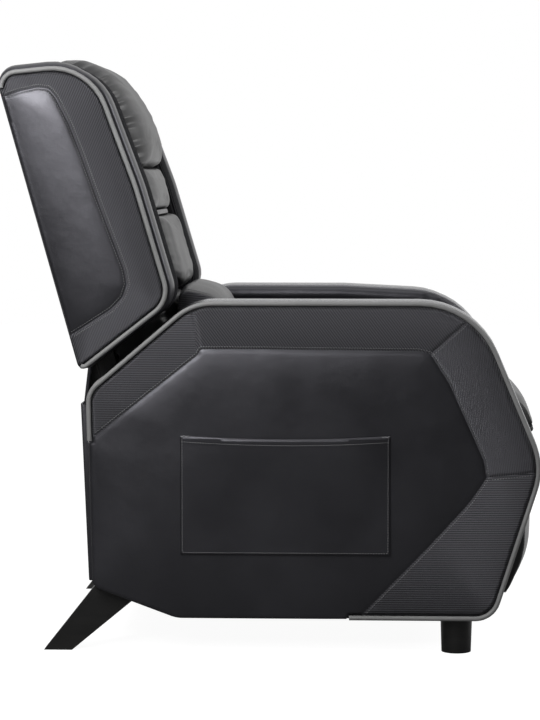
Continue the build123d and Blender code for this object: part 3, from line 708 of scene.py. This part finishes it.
arm_loop = rounded_outline(arm_corners, cap_spacing)
arm_out = outward(arm_loop)
field_loop = np.array(arm_field + (field_rear,))
arm_seams = [np.array(arm_field)] + [np.array(seam) for seam in arm_cross_seams]
arm_piped = ~((arm_loop[:, 0] < arm_piping_bottom_end) & (arm_loop[:, 1] < arm_piping_rear_end))
arm_bare = np.where(arm_loop[:, 0] < bare_rear_line, bare_rear_edge, bare_edge)
arm_panel_loop = arm_loop - arm_out * np.where(arm_piped, arm_piping_width + piping_gap, arm_bare)[:, None]
band_places = np.linspace(band_inner + band_gap, band_outer - band_gap, band_rings)
for side, sign in (("left", 1), ("right", -1)):
    def on_arm(x, y, z, sign=sign):
        ahead = min(1, max(0, (x - slump_from[0]) / slump_run[0]))
        above = min(1, max(0, (z - slump_from[1]) / slump_run[1]))
        return (x, sign * y, z - left_slump * (sign > 0) * ahead * above)

    def in_arm(x, y, z):
        return on_arm(x, -y, z)

    outer, outer_height = seamed_panel(
        f"arm_outer_upholstery_{side}", arm_panel_loop, arm_seams, band_outer, arm_outer + panel_swell,
        panel_roll, cap_spacing, on_arm, arm_falls, field_loop)
    outer.data.materials.append(twill_leather)
    paint_beyond(outer, field_loop, lambda p: (p.x, p.z))
    lay_cut(outer, lambda c: twill_directions(arm_section(c.x, c.z)))
    belongs(outer, "base", "carbon_leather", f"arm_outer_panel_{side}")

    rows = [beside(evenly(arm_field, row_step), stitch_side)]
    rows += [beside(evenly(seam, row_step), -stitch_side) for seam in arm_cross_seams[1:]]
    rows = [kept_inside(row, arm_panel_loop, stitch_margin) for row in rows]
    sew(f"arm_stitches_{side}", [laid_on(row, outer_height, on_arm) for row in rows],
        "base", "carbon_leather")

    inner_loop = arm_loop - arm_out * inner_inset
    top_seam = kept_run(
        arm_loop - arm_out * top_seam_inset, (arm_loop[:, 1] > 0.40) & (arm_loop[:, 0] > -0.25))
    inner, inner_height = seamed_panel(
        f"arm_inner_upholstery_{side}", inner_loop, [top_seam], -band_inner, -arm_inner, inner_roll,
        inner_spacing, in_arm, inner_falls)
    belongs(inner, "base", "smooth_leather", f"arm_inner_panel_{side}")
    row = beside(top_seam, inner_stitch_side)
    sew(f"arm_inner_stitches_{side}", [laid_on(row, inner_height, in_arm)], "base", "smooth_leather")

    rings = []
    for y in band_places:
        share = (y - band_inner) / (band_outer - band_inner)
        rise = -band_sink + band_crown * math.sin(math.pi * share) ** 0.5
        rings.append([on_arm(p[0], y, p[1]) for p in arm_loop + arm_out * rise])
    for y in (band_outer - band_gap, band_inner + band_gap):
        rings.append([on_arm(p[0], y, p[1]) for p in arm_loop - arm_out * band_turn_in])
    band = new_piece(
        f"arm_band_upholstery_{side}", [p for ring in rings for p in ring],
        ring_faces(len(rings), len(arm_loop), True), taut_twill)
    lay_ring_cut(band, arm_loop, list(band_places) + [band_outer, band_inner])
    belongs(band, "base", "carbon_leather", f"arm_band_{side}")

    piping_run = kept_run(arm_loop - arm_out * (arm_piping_width * 0.45), arm_piped)
    line = [on_arm(x, band_outer + arm_piping_width * 0.62, z) for x, z in piping_run]
    piping = cord(f"arm_piping_cord_{side}", line, arm_piping_width, piping_leather)
    belongs(piping, "base", "piping", f"arm_piping_{side}")

# Side pockets
# A flat patch of the smooth leather, sewn on along both sides and the bottom, with a hemmed
# mouth that stands a little off the panel and sags. Bar tacks hold its upper corners.
pocket_low = (-0.156, 0.179)
pocket_size = (0.365, 0.209)
pocket_sag = 0.006
pocket_cloth = 0.0018
pocket_lift = 0.0055
pocket_lift_reach = 0.070
pocket_gap = 0.0002
hem_width = 0.011
hem_rise = 0.0005
hem_edge = 0.0006
pocket_row_inset = 0.0035
tack_length = 0.012
tack_below = 0.002
tack_sizes = (0.0011, 0.0030, 0.0016)
for side, sign in (("left", 1), ("right", -1)):
    def on_pocket(x, y, z, sign=sign):
        return (x, sign * y, z)

    def pocket_top(x):
        share = (x - pocket_low[0]) / pocket_size[0]
        return pocket_low[1] + pocket_size[1] - pocket_sag * 4 * share * (1 - share)

    def pocket_face(flat):
        below = np.array([pocket_top(x) for x, z in flat]) - flat[:, 1]
        share = np.clip((flat[:, 0] - pocket_low[0]) / pocket_size[0], 0, 1)
        lift = pocket_lift * np.sin(math.pi * share) ** 0.7 * np.exp(-(below / pocket_lift_reach) ** 2)
        hem = hem_rise * (1 / (1 + np.exp((below - hem_width) / hem_edge)))
        return arm_outer + panel_swell + pocket_gap + pocket_cloth + lift + hem

    x0, z0 = pocket_low
    w, h = pocket_size
    mouth = [(x0 + w * (1 - k / 24), pocket_top(x0 + w * (1 - k / 24))) for k in range(25)]
    loop = evenly([(x0, z0), (x0 + w, z0)] + mouth, row_step, True)
    flat, triangles = cut_cap(loop, [], cap_spacing)
    face_heights = pocket_face(flat)
    points = [on_pocket(x, y, z) for (x, z), y in zip(flat, face_heights)]
    points += [on_pocket(x, y - pocket_cloth, z) for (x, z), y in zip(flat, face_heights)]
    under = len(flat)
    rim = rim_of(triangles)
    faces = list(triangles) + [tuple(under + i for i in t[::-1]) for t in triangles]
    faces += [(rim[(k + 1) % len(rim)], rim[k], under + rim[k], under + rim[(k + 1) % len(rim)])
              for k in range(len(rim))]
    pocket = new_piece(f"pocket_{side}", points, faces, smooth_leather)
    belongs(pocket, "base", "smooth_leather", f"side_pocket_{side}")

    near, far = x0 + pocket_row_inset, x0 + w - pocket_row_inset
    foot, head = z0 + pocket_row_inset, z0 + h - pocket_row_inset
    hem_row = np.array([(x, pocket_top(x) - hem_width) for x in np.linspace(near, far, 60)])
    edge_row = evenly([(near, head), (near, foot), (far, foot), (far, head)], row_step)
    sew(f"pocket_stitches_{side}", [laid_on(row, pocket_face, on_pocket) for row in (hem_row, edge_row)],
        "base", "smooth_leather")
    tacks = []
    for x in (x0 + tack_below, x0 + w - tack_below - tack_length):
        row = np.array([(x + s, z0 + h - tack_below - 0.0005 * math.sin(s * 900))
                        for s in np.linspace(0, tack_length, 12)])
        tacks.append(laid_on(row, pocket_face, on_pocket, 0.0006))
    sew(f"pocket_tacks_{side}", tacks, "base", "smooth_leather", tack_sizes)

# Feet
# Raked rear legs of black lacquered wood and turned black front feet, screwed up into the arm
# frames.
lacquer_light = (0.0065, 0.0062, 0.0060, 1)
lacquer_dark = (0.0030, 0.0030, 0.0030, 1)
black_lacquer = wood_material("black_lacquer", lacquer_light, lacquer_dark, 0.36, 0.35)
paint(["rear_legs", "front_feet"], black_lacquer)

# Base between the arms
# Pine rails tie the arms together; the rear is closed by a padded panel with a stitched edge, and
# a thin non-woven cloth is stapled underneath.
rear_panel_row_inset = 0.016
under_cloth_line = ((-0.3197, 0.1181), (-0.1644, 0.0626), (0.2600, 0.0626))
under_cloth_half = 0.2590
under_cloth_columns = 27
under_cloth_sag = 0.004
paint(["rear_rail", "seat_front_rail", "seat_rear_rail"], frame_wood)
paint(left_and_right("seat_side_rail"), frame_wood)


def cleaned(body):
    """Merge doubles and flat faces of a CAD mesh."""
    bmesh.ops.remove_doubles(body, verts=body.verts, dist=1e-5)
    bmesh.ops.dissolve_limit(body, angle_limit=math.radians(3), verts=body.verts, edges=body.edges)


def softened_copy(name, node_name, material, edge, rounds=3):
    """Copy of a CAD node with its doubles merged and its edges rounded."""
    mesh = nodes[node_name].data.copy()
    mesh.name = name
    body = bmesh.new()
    body.from_mesh(mesh)
    cleaned(body)
    sharp = [e for e in body.edges if len(e.link_faces) == 2 and e.calc_face_angle() > math.radians(35)]
    bmesh.ops.bevel(
        body, geom=sharp, offset=edge, segments=rounds, profile=0.6, affect="EDGES", clamp_overlap=True)
    body.to_mesh(mesh)
    body.free()
    mesh.materials.clear()
    mesh.materials.append(material)
    mesh.shade_smooth()
    return put(name, mesh)


def on_surface(piece, rows, lift=0.0003):
    """The same rows, laid on the nearest places of a piece."""
    mesh = piece.data
    tree = BVHTree.FromPolygons([v.co[:] for v in mesh.vertices], [list(f.vertices) for f in mesh.polygons])
    laid = []
    for row in rows:
        found = [tree.find_nearest(Vector(p)) for p in row]
        laid.append([f[0] + f[1] * lift for f in found])
    return laid


rear_padding = softened_copy("rear_padding", "rear_panel", smooth_leather, 0.004)
belongs(rear_padding, "base", "smooth_leather", "rear_panel")
rear_low, rear_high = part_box("rear_panel")
rear_half = rear_high[1] - rear_panel_row_inset
rear_row = [(rear_low[0] - 0.01, y, rear_low[2] + rear_panel_row_inset)
            for y in np.linspace(-rear_half, rear_half, 80)]
sew("rear_panel_stitches", on_surface(rear_padding, [rear_row]), "base", "smooth_leather")

under_cloth, under_tree, under_shader = plain_material("under_cloth")
fibres = add_node(
    under_tree, "ShaderNodeTexNoise", {"Vector": object_place(under_tree, (700, 900, 700)), "Scale": 1})
under_tree.links.new(
    ramp(under_tree, fibres.outputs[0], (0.3, (0.008, 0.008, 0.008, 1)), (0.7, (0.02, 0.02, 0.02, 1))),
    under_shader.inputs["Base Color"])
under_shader.inputs["Roughness"].default_value = 0.95
line = evenly(under_cloth_line, 0.02)
across = np.linspace(-under_cloth_half, under_cloth_half, under_cloth_columns)
points = []
for i, (x, z) in enumerate(line):
    sag = under_cloth_sag * math.sin(math.pi * i / (len(line) - 1))
    points += [(x, y, z - sag * (1 - (y / under_cloth_half) ** 2)) for y in across]
faces = [(a, a + 1, a + under_cloth_columns + 1, a + under_cloth_columns)
         for i in range(len(line) - 1)
         for a in range(i * under_cloth_columns, (i + 1) * under_cloth_columns - 1)]
dust_sheet = new_piece("dust_sheet", points, faces, under_cloth)
belongs(dust_sheet, "base", "lining", "dust_cover")

# Mechanism
# Black painted steel plates, links and brackets on zinc-plated pins, and nylon glides that run
# in steel channels.


def metal_material(name, low, high, metal, gloss, speckle):
    """Painted or plated steel with fine unevenness."""
    made, tree, shader = plain_material(name)
    cloud = add_node(
        tree, "ShaderNodeTexNoise", {"Vector": object_place(tree), "Scale": speckle, "Detail": 6}).outputs[0]
    tree.links.new(ramp(tree, cloud, (0.35, low), (0.7, high)), shader.inputs["Base Color"])
    tree.links.new(bumped(tree, cloud, 0.3, 0.0002), shader.inputs["Normal"])
    shader.inputs["Metallic"].default_value = metal
    shader.inputs["Roughness"].default_value = gloss
    return made


black_steel = metal_material(
    "black_steel", (0.010, 0.010, 0.010, 1), (0.022, 0.022, 0.022, 1), 0.0, 0.35, 500)
zinc = metal_material("zinc", (0.45, 0.44, 0.42, 1), (0.62, 0.61, 0.60, 1), 1.0, 0.32, 900)
nylon = metal_material("nylon", (0.012, 0.012, 0.012, 1), (0.02, 0.02, 0.02, 1), 0.0, 0.5, 300)
paint(left_and_right("mechanism_plate"), black_steel)
paint(["lower_links", "upper_links", "link_cross_tube", "footrest_brackets"], black_steel)
paint(["back_brackets", "slide_channels", "back_pivot_pins"], black_steel)
paint(["link_pivot_pins", "knee_pins", "footrest_pins"], zinc)
paint(["seat_glides"], nylon)

# Back frame
# Pine uprights and rails, and a plywood board in each wing, stained black because they show
# between the cushions. So are the rail and the two boards that show when the footrest is out.
stain_light = (0.012, 0.011, 0.010, 1)
stain_dark = (0.006, 0.006, 0.005, 1)
stained_wood = wood_material("stained_wood", stain_light, stain_dark, 0.7, 0.3)
paint(left_and_right("back_stile") + ["back_top_rail", "back_bottom_rail", "wing_boards"], stained_wood)
paint(["front_rail", "seat_front_board", "footrest_board"], stained_wood)

# Webbing
# Woven elastic straps, stretched and stapled to the side rails under the seat and to the uprights
# of the back.
webbing, webbing_tree, webbing_shader = plain_material("webbing")
strands = add_node(
    webbing_tree, "ShaderNodeTexWave", {"Vector": object_place(webbing_tree, (250, 250, 250)), "Scale": 1})
webbing_tree.links.new(
    ramp(webbing_tree, strands.outputs[1], (0.3, (0.02, 0.02, 0.02, 1)), (0.7, (0.07, 0.07, 0.07, 1))),
    webbing_shader.inputs["Base Color"])
webbing_shader.inputs["Roughness"].default_value = 0.9
for node_name, body_name in (("seat_webbing", "seat"), ("back_webbing", "backrest")):
    straps = softened_copy(node_name + "_straps", node_name, webbing, 0.0004, 1)
    belongs(straps, body_name, "webbing", node_name)

# Seat cushion
# High-resilience foam in a sewn leather cover with a rolled front edge. Its front roll is closed
# by a doubly stitched seam.
swell_pressure = 4.0
swell_frames = 20
seat_corners = (
    (-0.2260, 0.3040, 0.010), (0.2570, 0.3040, 0.004), (0.2570, 0.3980, 0.002),
    (0.4270, 0.3980, 0.002), (0.4270, 0.3815, 0.001), (0.4690, 0.3815, 0.006),
    (0.4440, 0.4540, 0.040), (-0.2260, 0.4540, 0.030))
seat_half = 0.2520
seat_crown = 0.007
seat_draw = 0.014
seat_seam_height = 0.398
seat_swell_cap = 0.004
cushion_spacing = 0.009
row_front = 0.49
twin_side = 0.0045


def pillow(name, section, half, spacing, place, caps=(), end_swell=0.006):
    """Closed cover of even rings across the chair, closed by smaller and smaller rings at its ends."""
    rings = [(half * s, section(s)) for s in np.linspace(-1, 1, int(round(2 * half / spacing)) + 1)]
    for end in (-1, 1):
        edge = section(end)
        centre = edge.mean(0)
        closing = [(end * (half + end_swell * (1 - c * c)), centre + (edge - centre) * c) for c in caps]
        rings = closing[::-1] + rings if end < 0 else rings + closing
    points = [place(p[0], y, p[1]) for y, loop in rings for p in loop]
    return new_piece(name, points, ring_faces(len(rings), len(rings[0][1])), cushion_leather)


def swell(piece, half, cap):
    """Blow a cover up like cloth under pressure, with its end seams held, and soften it once."""
    mesh = piece.data
    rest = np.array([v.co for v in mesh.vertices])
    held = piece.vertex_groups.new(name="seams")
    held.add([int(i) for i in np.flatnonzero(np.abs(np.abs(rest[:, 1]) - half) < 1e-4)], 1.0, "ADD")
    cloth = piece.modifiers.new("swelling", "CLOTH")
    cloth.settings.use_pressure = True
    cloth.settings.uniform_pressure_force = swell_pressure
    cloth.settings.effector_weights.gravity = 0
    cloth.settings.vertex_group_mass = "seams"
    for step in range(1, swell_frames + 1):
        bpy.context.scene.frame_set(step)
    blown = bpy.data.meshes.new_from_object(piece.evaluated_get(bpy.context.evaluated_depsgraph_get()))
    moved = np.array([v.co for v in blown.vertices]) - rest
    piece.modifiers.clear()
    piece.vertex_groups.clear()
    bpy.context.scene.frame_set(1)
    reach = np.linalg.norm(moved, axis=1)
    rest = rest + moved * (cap * np.tanh(reach / cap) / np.maximum(reach, 1e-9))[:, None]
    mesh.vertices.foreach_set("co", rest.astype(np.float32).ravel())
    finer = piece.modifiers.new("finer", "SUBSURF")
    finer.levels = 1
    finer.render_levels = 1
    finer.use_limit_surface = False
    piece.data = bpy.data.meshes.new_from_object(piece.evaluated_get(bpy.context.evaluated_depsgraph_get()))
    piece.data.name = piece.name
    piece.modifiers.clear()


def crease(piece, rows, depth, width):
    """Pull a cover in along rows of points."""
    dense = np.vstack([evenly(row, width / 2) for row in rows])
    tree = KDTree(len(dense))
    for i, p in enumerate(dense):
        tree.insert(Vector(p), i)
    tree.balance()
    mesh = piece.data
    places = np.array([v.co for v in mesh.vertices])
    normals = np.array([v.normal for v in mesh.vertices])
    near = np.array([tree.find(p)[2] for p in places])
    pulled = places - normals * (depth * np.exp(-(near / width) ** 1.5))[:, None]
    mesh.vertices.foreach_set("co", pulled.astype(np.float32).ravel())
    mesh.update()


def end_draw(share, start=0.45, power=5):
    """How far a cover is drawn in towards its ends, from 0 to 1."""
    return max(0.0, (abs(share) - start) / (1 - start)) ** power


def upright(x, y, z):
    """Place of a point given along, across and up."""
    return (x, y, z)


def seat_section(share):
    """Outline of the seat cushion at a share of its half width."""
    drawn = seat_draw * end_draw(share)
    rise = seat_crown * (1 - share * share)
    upper = [(x, z + rise - drawn, r) for x, z, r in seat_corners[6:]]
    return rounded_outline(list(seat_corners[:6]) + upper, count=240)


seat_pad = pillow("seat_pad", seat_section, seat_half, cushion_spacing, upright)
swell(seat_pad, seat_half, seat_swell_cap)
roll_rows = [[(row_front, y, seat_seam_height + s) for y in np.linspace(-seat_half, seat_half, 100)]
             for s in (0.0, twin_side, -twin_side)]
crease(seat_pad, on_surface(seat_pad, roll_rows[:1]), 0.0035, 0.0040)
belongs(seat_pad, "seat", "smooth_leather", "seat_cushion")
sew("seat_stitches", on_surface(seat_pad, roll_rows[1:]), "seat", "smooth_leather")

# Footrest pad
# Foam in a leather cover on the board that closes the front below the seat. Its face curves back
# towards the floor, and a seam runs across below its top.
foot_corners = (
    (0.4140, 0.0820, 0.002), (0.4200, 0.0830, 0.003), (0.4600, 0.1590, 0.149),
    (0.4680, 0.3730, 0.014), (0.4140, 0.3720, 0.002))
foot_half = 0.2500
foot_draw = 0.012
foot_swell_cap = 0.005
foot_seam_height = 0.352


def foot_section(share):
    """Outline of the footrest's pad at a share of its half width."""
    drawn = foot_draw * end_draw(share)
    corners = []
    for x, z, r in foot_corners:
        back = drawn if x > 0.43 else 0
        corners.append((x - back, z + (drawn if z < 0.1 else 0) - (drawn / 2 if z > 0.3 else 0), r))
    return rounded_outline(corners, count=110)


foot_pad = pillow("foot_pad", foot_section, foot_half, cushion_spacing, upright)
swell(foot_pad, foot_half, foot_swell_cap)
foot_rows = [[(row_front, y, foot_seam_height + s) for y in np.linspace(-foot_half, foot_half, 100)]
             for s in (0.0, -twin_side)]
crease(foot_pad, on_surface(foot_pad, foot_rows[:1]), 0.0030, 0.0040)
belongs(foot_pad, "footrest", "smooth_leather", "footrest_pad")
sew("foot_stitches", on_surface(foot_pad, foot_rows[1:]), "footrest", "smooth_leather")

# Back cushions
# Headrest, upper, lower and loin sections of one sewn cover over wadding-wrapped foam, gathered
# at their side seams. A narrow band lies between the upper and the lower section.
hinge = (-0.292, 0.440)
rake = math.radians(15.8)
back_half = 0.2000
back_rear = 0.0285
back_draw = 0.026
gather_depth = 0.0022
gather_reach = 0.036
head_outline = (
    (0.0285, 0.3885), (0.0700, 0.3870), (0.1200, 0.3865), (0.1660, 0.3868), (0.1770, 0.3905),
    (0.1820, 0.4000), (0.1845, 0.4130), (0.1855, 0.4386), (0.1815, 0.4788), (0.1685, 0.5276),
    (0.1490, 0.5690), (0.1190, 0.5970), (0.0890, 0.6080), (0.0600, 0.6060), (0.0380, 0.5990),
    (0.0285, 0.5850), (0.0285, 0.4900))
head_draw = 0.044
head_gather_depth = 0.0060
head_swell_cap = 0.004
pad_swell_cap = 0.003
back_spacing = 0.007
back_caps = (0.93, 0.8, 0.6, 0.35, 0.12)
pads = (
    ("upper_back_pad", "upper_pad", 0.3035, 0.3840, 0.1410, 0.0, 0.012),
    ("middle_back_pad", "lower_pad", 0.1545, 0.2915, 0.1480, 0.028, 0.014),
    ("low_back_pad", "lower_back_pad", 0.0215, 0.1490, 0.1190, 0.0, 0.016),
)
ripple_turns = ((23, 0.3, 1.0), (37, 1.9, 0.6), (61, 4.0, 0.35))


def on_back(v, y, u):
    """Place of a point of the back: forward from the hinge line, across, and up along the back."""
    x = hinge[0] - u * math.sin(rake) + v * math.cos(rake)
    return (x, y, hinge[1] + u * math.cos(rake) + v * math.sin(rake))


def gathered(loop, share, half, depth=gather_depth):
    """Outline with the small folds of a gathered seam near its ends."""
    turn = np.linspace(0, 2 * math.pi, len(loop), endpoint=False)
    folds = sum(size * np.sin(turns * turn + start) for turns, start, size in ripple_turns)
    weight = math.exp(-(1 - abs(share)) * half / gather_reach)
    return loop + outward(loop) * (folds * depth * weight)[:, None]


def head_section(share):
    """Outline of the headrest at a share of its half width."""
    drawn = head_draw * end_draw(share, 0.35, 4)
    path = evenly(head_outline, closed=True, count=130)
    for _ in range(2):
        path = (path + (np.roll(path, 1, 0) + np.roll(path, -1, 0)) / 2) / 2
    back = drawn * np.clip((path[:, 0] - back_rear) / (2 * head_draw), 0, 1)
    down = 0.35 * drawn * np.clip((path[:, 1] - 0.45) / 0.12, 0, 1)
    return gathered(path - np.stack([back, down], 1), share, back_half, head_gather_depth)


headrest = pillow("headrest", head_section, back_half, back_spacing, on_back, back_caps)
swell(headrest, back_half, head_swell_cap)
belongs(headrest, "backrest", "smooth_leather", "headrest_cushion")

for pad_name, node_name, low, high, depth, corner_rise, roundness in pads:
    def pad_section(share, low=low, high=high, depth=depth, corner_rise=corner_rise, roundness=roundness):
        drawn = back_draw * end_draw(share)
        foot = low + corner_rise * max(0.0, (abs(share) - 0.5) / 0.5)
        front = back_rear + depth - drawn
        corners = [(back_rear, foot, 0.002), (front, foot, roundness), (front, high, roundness),
                   (back_rear, high, 0.002)]
        return gathered(rounded_outline(corners, count=110), share, back_half, gather_depth * 0.7)

    pad = pillow(pad_name, pad_section, back_half, back_spacing, on_back, back_caps)
    swell(pad, back_half, pad_swell_cap)
    belongs(pad, "backrest", "smooth_leather", node_name)

welt = softened_copy("pad_welt_strip", "pad_welt", smooth_leather, 0.002)
belongs(welt, "backrest", "smooth_leather", "pad_welt")

# Lumbar cushion
# A loose roll of soft foam behind the sitter's waist, in smooth leather with a twill cap at each
# end, double stitched.
lumbar_half = 0.1880
lumbar_middle = (
    (-0.1385, 0.4600), (-0.0920, 0.4620), (-0.0790, 0.4850), (-0.0735, 0.5200), (-0.0740, 0.5600),
    (-0.0836, 0.5930), (-0.0933, 0.6126), (-0.1040, 0.6248), (-0.1200, 0.6320), (-0.1470, 0.6385),
    (-0.1650, 0.6420), (-0.1780, 0.6300), (-0.1770, 0.5900), (-0.1600, 0.5300))
lumbar_end = (
    (-0.1400, 0.4660), (-0.1000, 0.4680), (-0.0880, 0.4880), (-0.0840, 0.5200), (-0.0860, 0.5600),
    (-0.0920, 0.5850), (-0.0990, 0.6030), (-0.1040, 0.6130), (-0.1220, 0.6220), (-0.1450, 0.6275),
    (-0.1630, 0.6310), (-0.1740, 0.6200), (-0.1740, 0.5850), (-0.1600, 0.5300))
lumbar_swell_cap = 0.003
lumbar_caps = (0.9, 0.72, 0.5, 0.28, 0.1)
lumbar_end_swell = 0.003
lumbar_cut = 40
lumbar_row_insets = (0.010, 0.0145)


def lumbar_section(share):
    """Outline of the lumbar cushion at a share of its half width."""
    blend = end_draw(share, 0.2, 3)
    blended = np.array(lumbar_middle) * (1 - blend) + np.array(lumbar_end) * blend
    path = evenly(blended, closed=True, count=100)
    for _ in range(6):
        path = (path + (np.roll(path, 1, 0) + np.roll(path, -1, 0)) / 2) / 2
    return path


lumbar = pillow(
    "lumbar_pillow", lumbar_section, lumbar_half, back_spacing, upright, lumbar_caps, lumbar_end_swell)
swell(lumbar, lumbar_half, lumbar_swell_cap)
lumbar.data.materials.append(twill_leather)
for face in lumbar.data.polygons:
    if abs(face.center.y) > lumbar_half - 0.0005:
        face.material_index = 1
lay_cut(lumbar, lambda c: twill_directions(lumbar_cut))
lumbar_rows = []
for end in (-1, 1):
    for inset in lumbar_row_insets:
        ring = lumbar_section(end)
        lumbar_rows.append([(x, end * (lumbar_half - inset), z) for x, z in np.vstack([ring, ring[:1]])])
belongs(lumbar, "backrest", "smooth_leather", "lumbar_cushion")
sew("lumbar_stitches", on_surface(lumbar, lumbar_rows), "backrest", "smooth_leather")

# Rear cover
# Leather over thin foam, drawn round the back frame and stapled inside it, with a seam down its
# middle that is stitched on both sides.
rear_row_side = 0.0035
rear_cover = softened_copy("rear_cover", "back_cover", smooth_leather, 0.003)
belongs(rear_cover, "backrest", "smooth_leather", "back_cover")
cover_rows = [[on_back(-0.06, y, u) for u in np.linspace(0.06, 0.575, 120)]
              for y in (-rear_row_side, rear_row_side)]
sew("rear_cover_stitches", on_surface(rear_cover, cover_rows), "backrest", "smooth_leather")

# Wings
# A plywood wing on each stile with foam on it. Outside, a smooth field has a twill border with a
# decorative row of stitches; grey piping closes the edge. The gusset is leather outside, twill inside.
wing_corners = (
    (-0.0239, 0.0629, 0.0114), (0.1661, 0.1404, 0.0513), (0.1634, 0.3497, 0.418), (0.1444, 0.5760, 0.1007),
    (-0.0219, 0.6050, 0.0304))
wing_outer = 0.380
wing_edge = 0.366
wing_inner = 0.2145
wing_piping_width = 0.0082
wing_piping_foot = 0.075
wing_gusset_crown = 0.010
wing_gusset_seam = 0.62
wing_falls = (0.0100, 0.045, 0.0030, 0.030)
wing_cut = 112
wing_stitch_side = -0.0035
accent_side = 0.0055
accent_margin = 0.006
accent_lift = 0.0005
accent_sizes = (0.0036, 0.0022, 0.0020)
rough_twill = twill_material("rough_twill", twill_dark, twill_light, 0.0014, 0.85, 0.06)


def off_back(x, z):
    """Forward and up along the back, of a place along and above the floor."""
    x -= hinge[0]
    z -= hinge[1]
    return (x * math.cos(rake) + z * math.sin(rake), -x * math.sin(rake) + z * math.cos(rake))


wing_seam = np.array((
    (-0.0385, 0.5578), (-0.0192, 0.5588), (0.0108, 0.5605), (0.0443, 0.5581), (0.0612, 0.5511),
    (0.0697, 0.5336), (0.0793, 0.4849), (0.0853, 0.4260), (0.0906, 0.3468), (0.0979, 0.2585),
    (0.1016, 0.2143), (0.0988, 0.1899), (0.0856, 0.1706), (0.0614, 0.1561), (0.0086, 0.1399),
    (-0.0211, 0.1314), (-0.0384, 0.1262)))
wing_loop = rounded_outline(wing_corners, row_step)
wing_out = outward(wing_loop)
wing_forward = np.clip(np.maximum(wing_out[:, 0], wing_out[:, 1]), 0, 1)
wing_piped = ~((wing_loop[:, 0] < 0.0) & (wing_loop[:, 1] < 0.575) & (wing_loop[:, 1] > wing_piping_foot))
wing_inset = np.where(wing_piped, wing_piping_width + piping_gap, bare_edge)
wing_panel_loop = wing_loop - wing_out * wing_inset[:, None]
wing_places = np.r_[
    np.linspace(wing_inner, wing_inner + 0.012, 5), np.linspace(wing_inner + 0.018, wing_edge, 26)]


def gusset_rise(share):
    """Rise of the gusset over its outline: two crowns with a seam between them."""
    if share < wing_gusset_seam:
        part = share / wing_gusset_seam
    else:
        part = (share - wing_gusset_seam) / (1 - wing_gusset_seam)
    return wing_gusset_crown * (0.25 + 0.75 * math.sin(math.pi * min(1, max(0, part))) ** 0.6)


for side, sign in (("left", 1), ("right", -1)):
    def on_wing(v, y, u, sign=sign):
        return on_back(v, sign * y, u)

    outer, outer_height = seamed_panel(
        f"wing_outer_upholstery_{side}", wing_panel_loop, [wing_seam], wing_edge, wing_outer + panel_swell,
        panel_roll, row_step, on_wing, wing_falls, wing_seam)
    outer.data.materials.append(twill_leather)
    paint_beyond(outer, wing_seam, lambda p: off_back(p.x, p.z))
    lay_cut(outer, lambda p: twill_directions(wing_cut))
    belongs(outer, "backrest", "carbon_leather")

    seam_row = evenly(wing_seam, row_step)
    row = kept_inside(beside(seam_row, wing_stitch_side), wing_panel_loop, stitch_margin)
    sew(f"wing_stitches_{side}", [laid_on(row, outer_height, on_wing)], "backrest", "carbon_leather")
    row = kept_inside(beside(seam_row, accent_side), wing_panel_loop, accent_margin)
    sew(f"wing_accent_{side}", [laid_on(row, outer_height, on_wing, accent_lift)],
        "backrest", "carbon_leather", accent_sizes, piping_leather)

    rings = []
    for y in wing_places:
        share = (y - wing_inner) / (wing_edge - wing_inner)
        edge_drop = -0.006 * max(0, 1 - share / 0.06) ** 2
        swell_out = (edge_drop + gusset_rise(share) * wing_forward)[:, None]
        rings.append([on_wing(p[0], y, p[1]) for p in wing_loop + wing_out * swell_out])
    block = new_piece(
        f"wing_body_{side}", [p for ring in rings for p in ring],
        ring_faces(len(rings), len(wing_loop)), rough_twill)
    block.data.materials.append(smooth_leather)
    parting = wing_inner + (wing_edge - wing_inner) * wing_gusset_seam
    for face in block.data.polygons:
        if abs(face.center.y) > parting:
            face.material_index = 1
    lay_ring_cut(block, wing_loop, list(wing_places))
    belongs(block, "backrest", "carbon_leather", f"wing_{side}")

    piping_run = kept_run(wing_loop - wing_out * (wing_piping_width * 0.45), wing_piped)
    line = [on_wing(v, wing_edge + wing_piping_width * 0.6, u) for v, u in piping_run]
    piping = cord(f"wing_piping_cord_{side}", line, wing_piping_width, piping_leather)
    belongs(piping, "backrest", "piping", f"wing_piping_{side}")
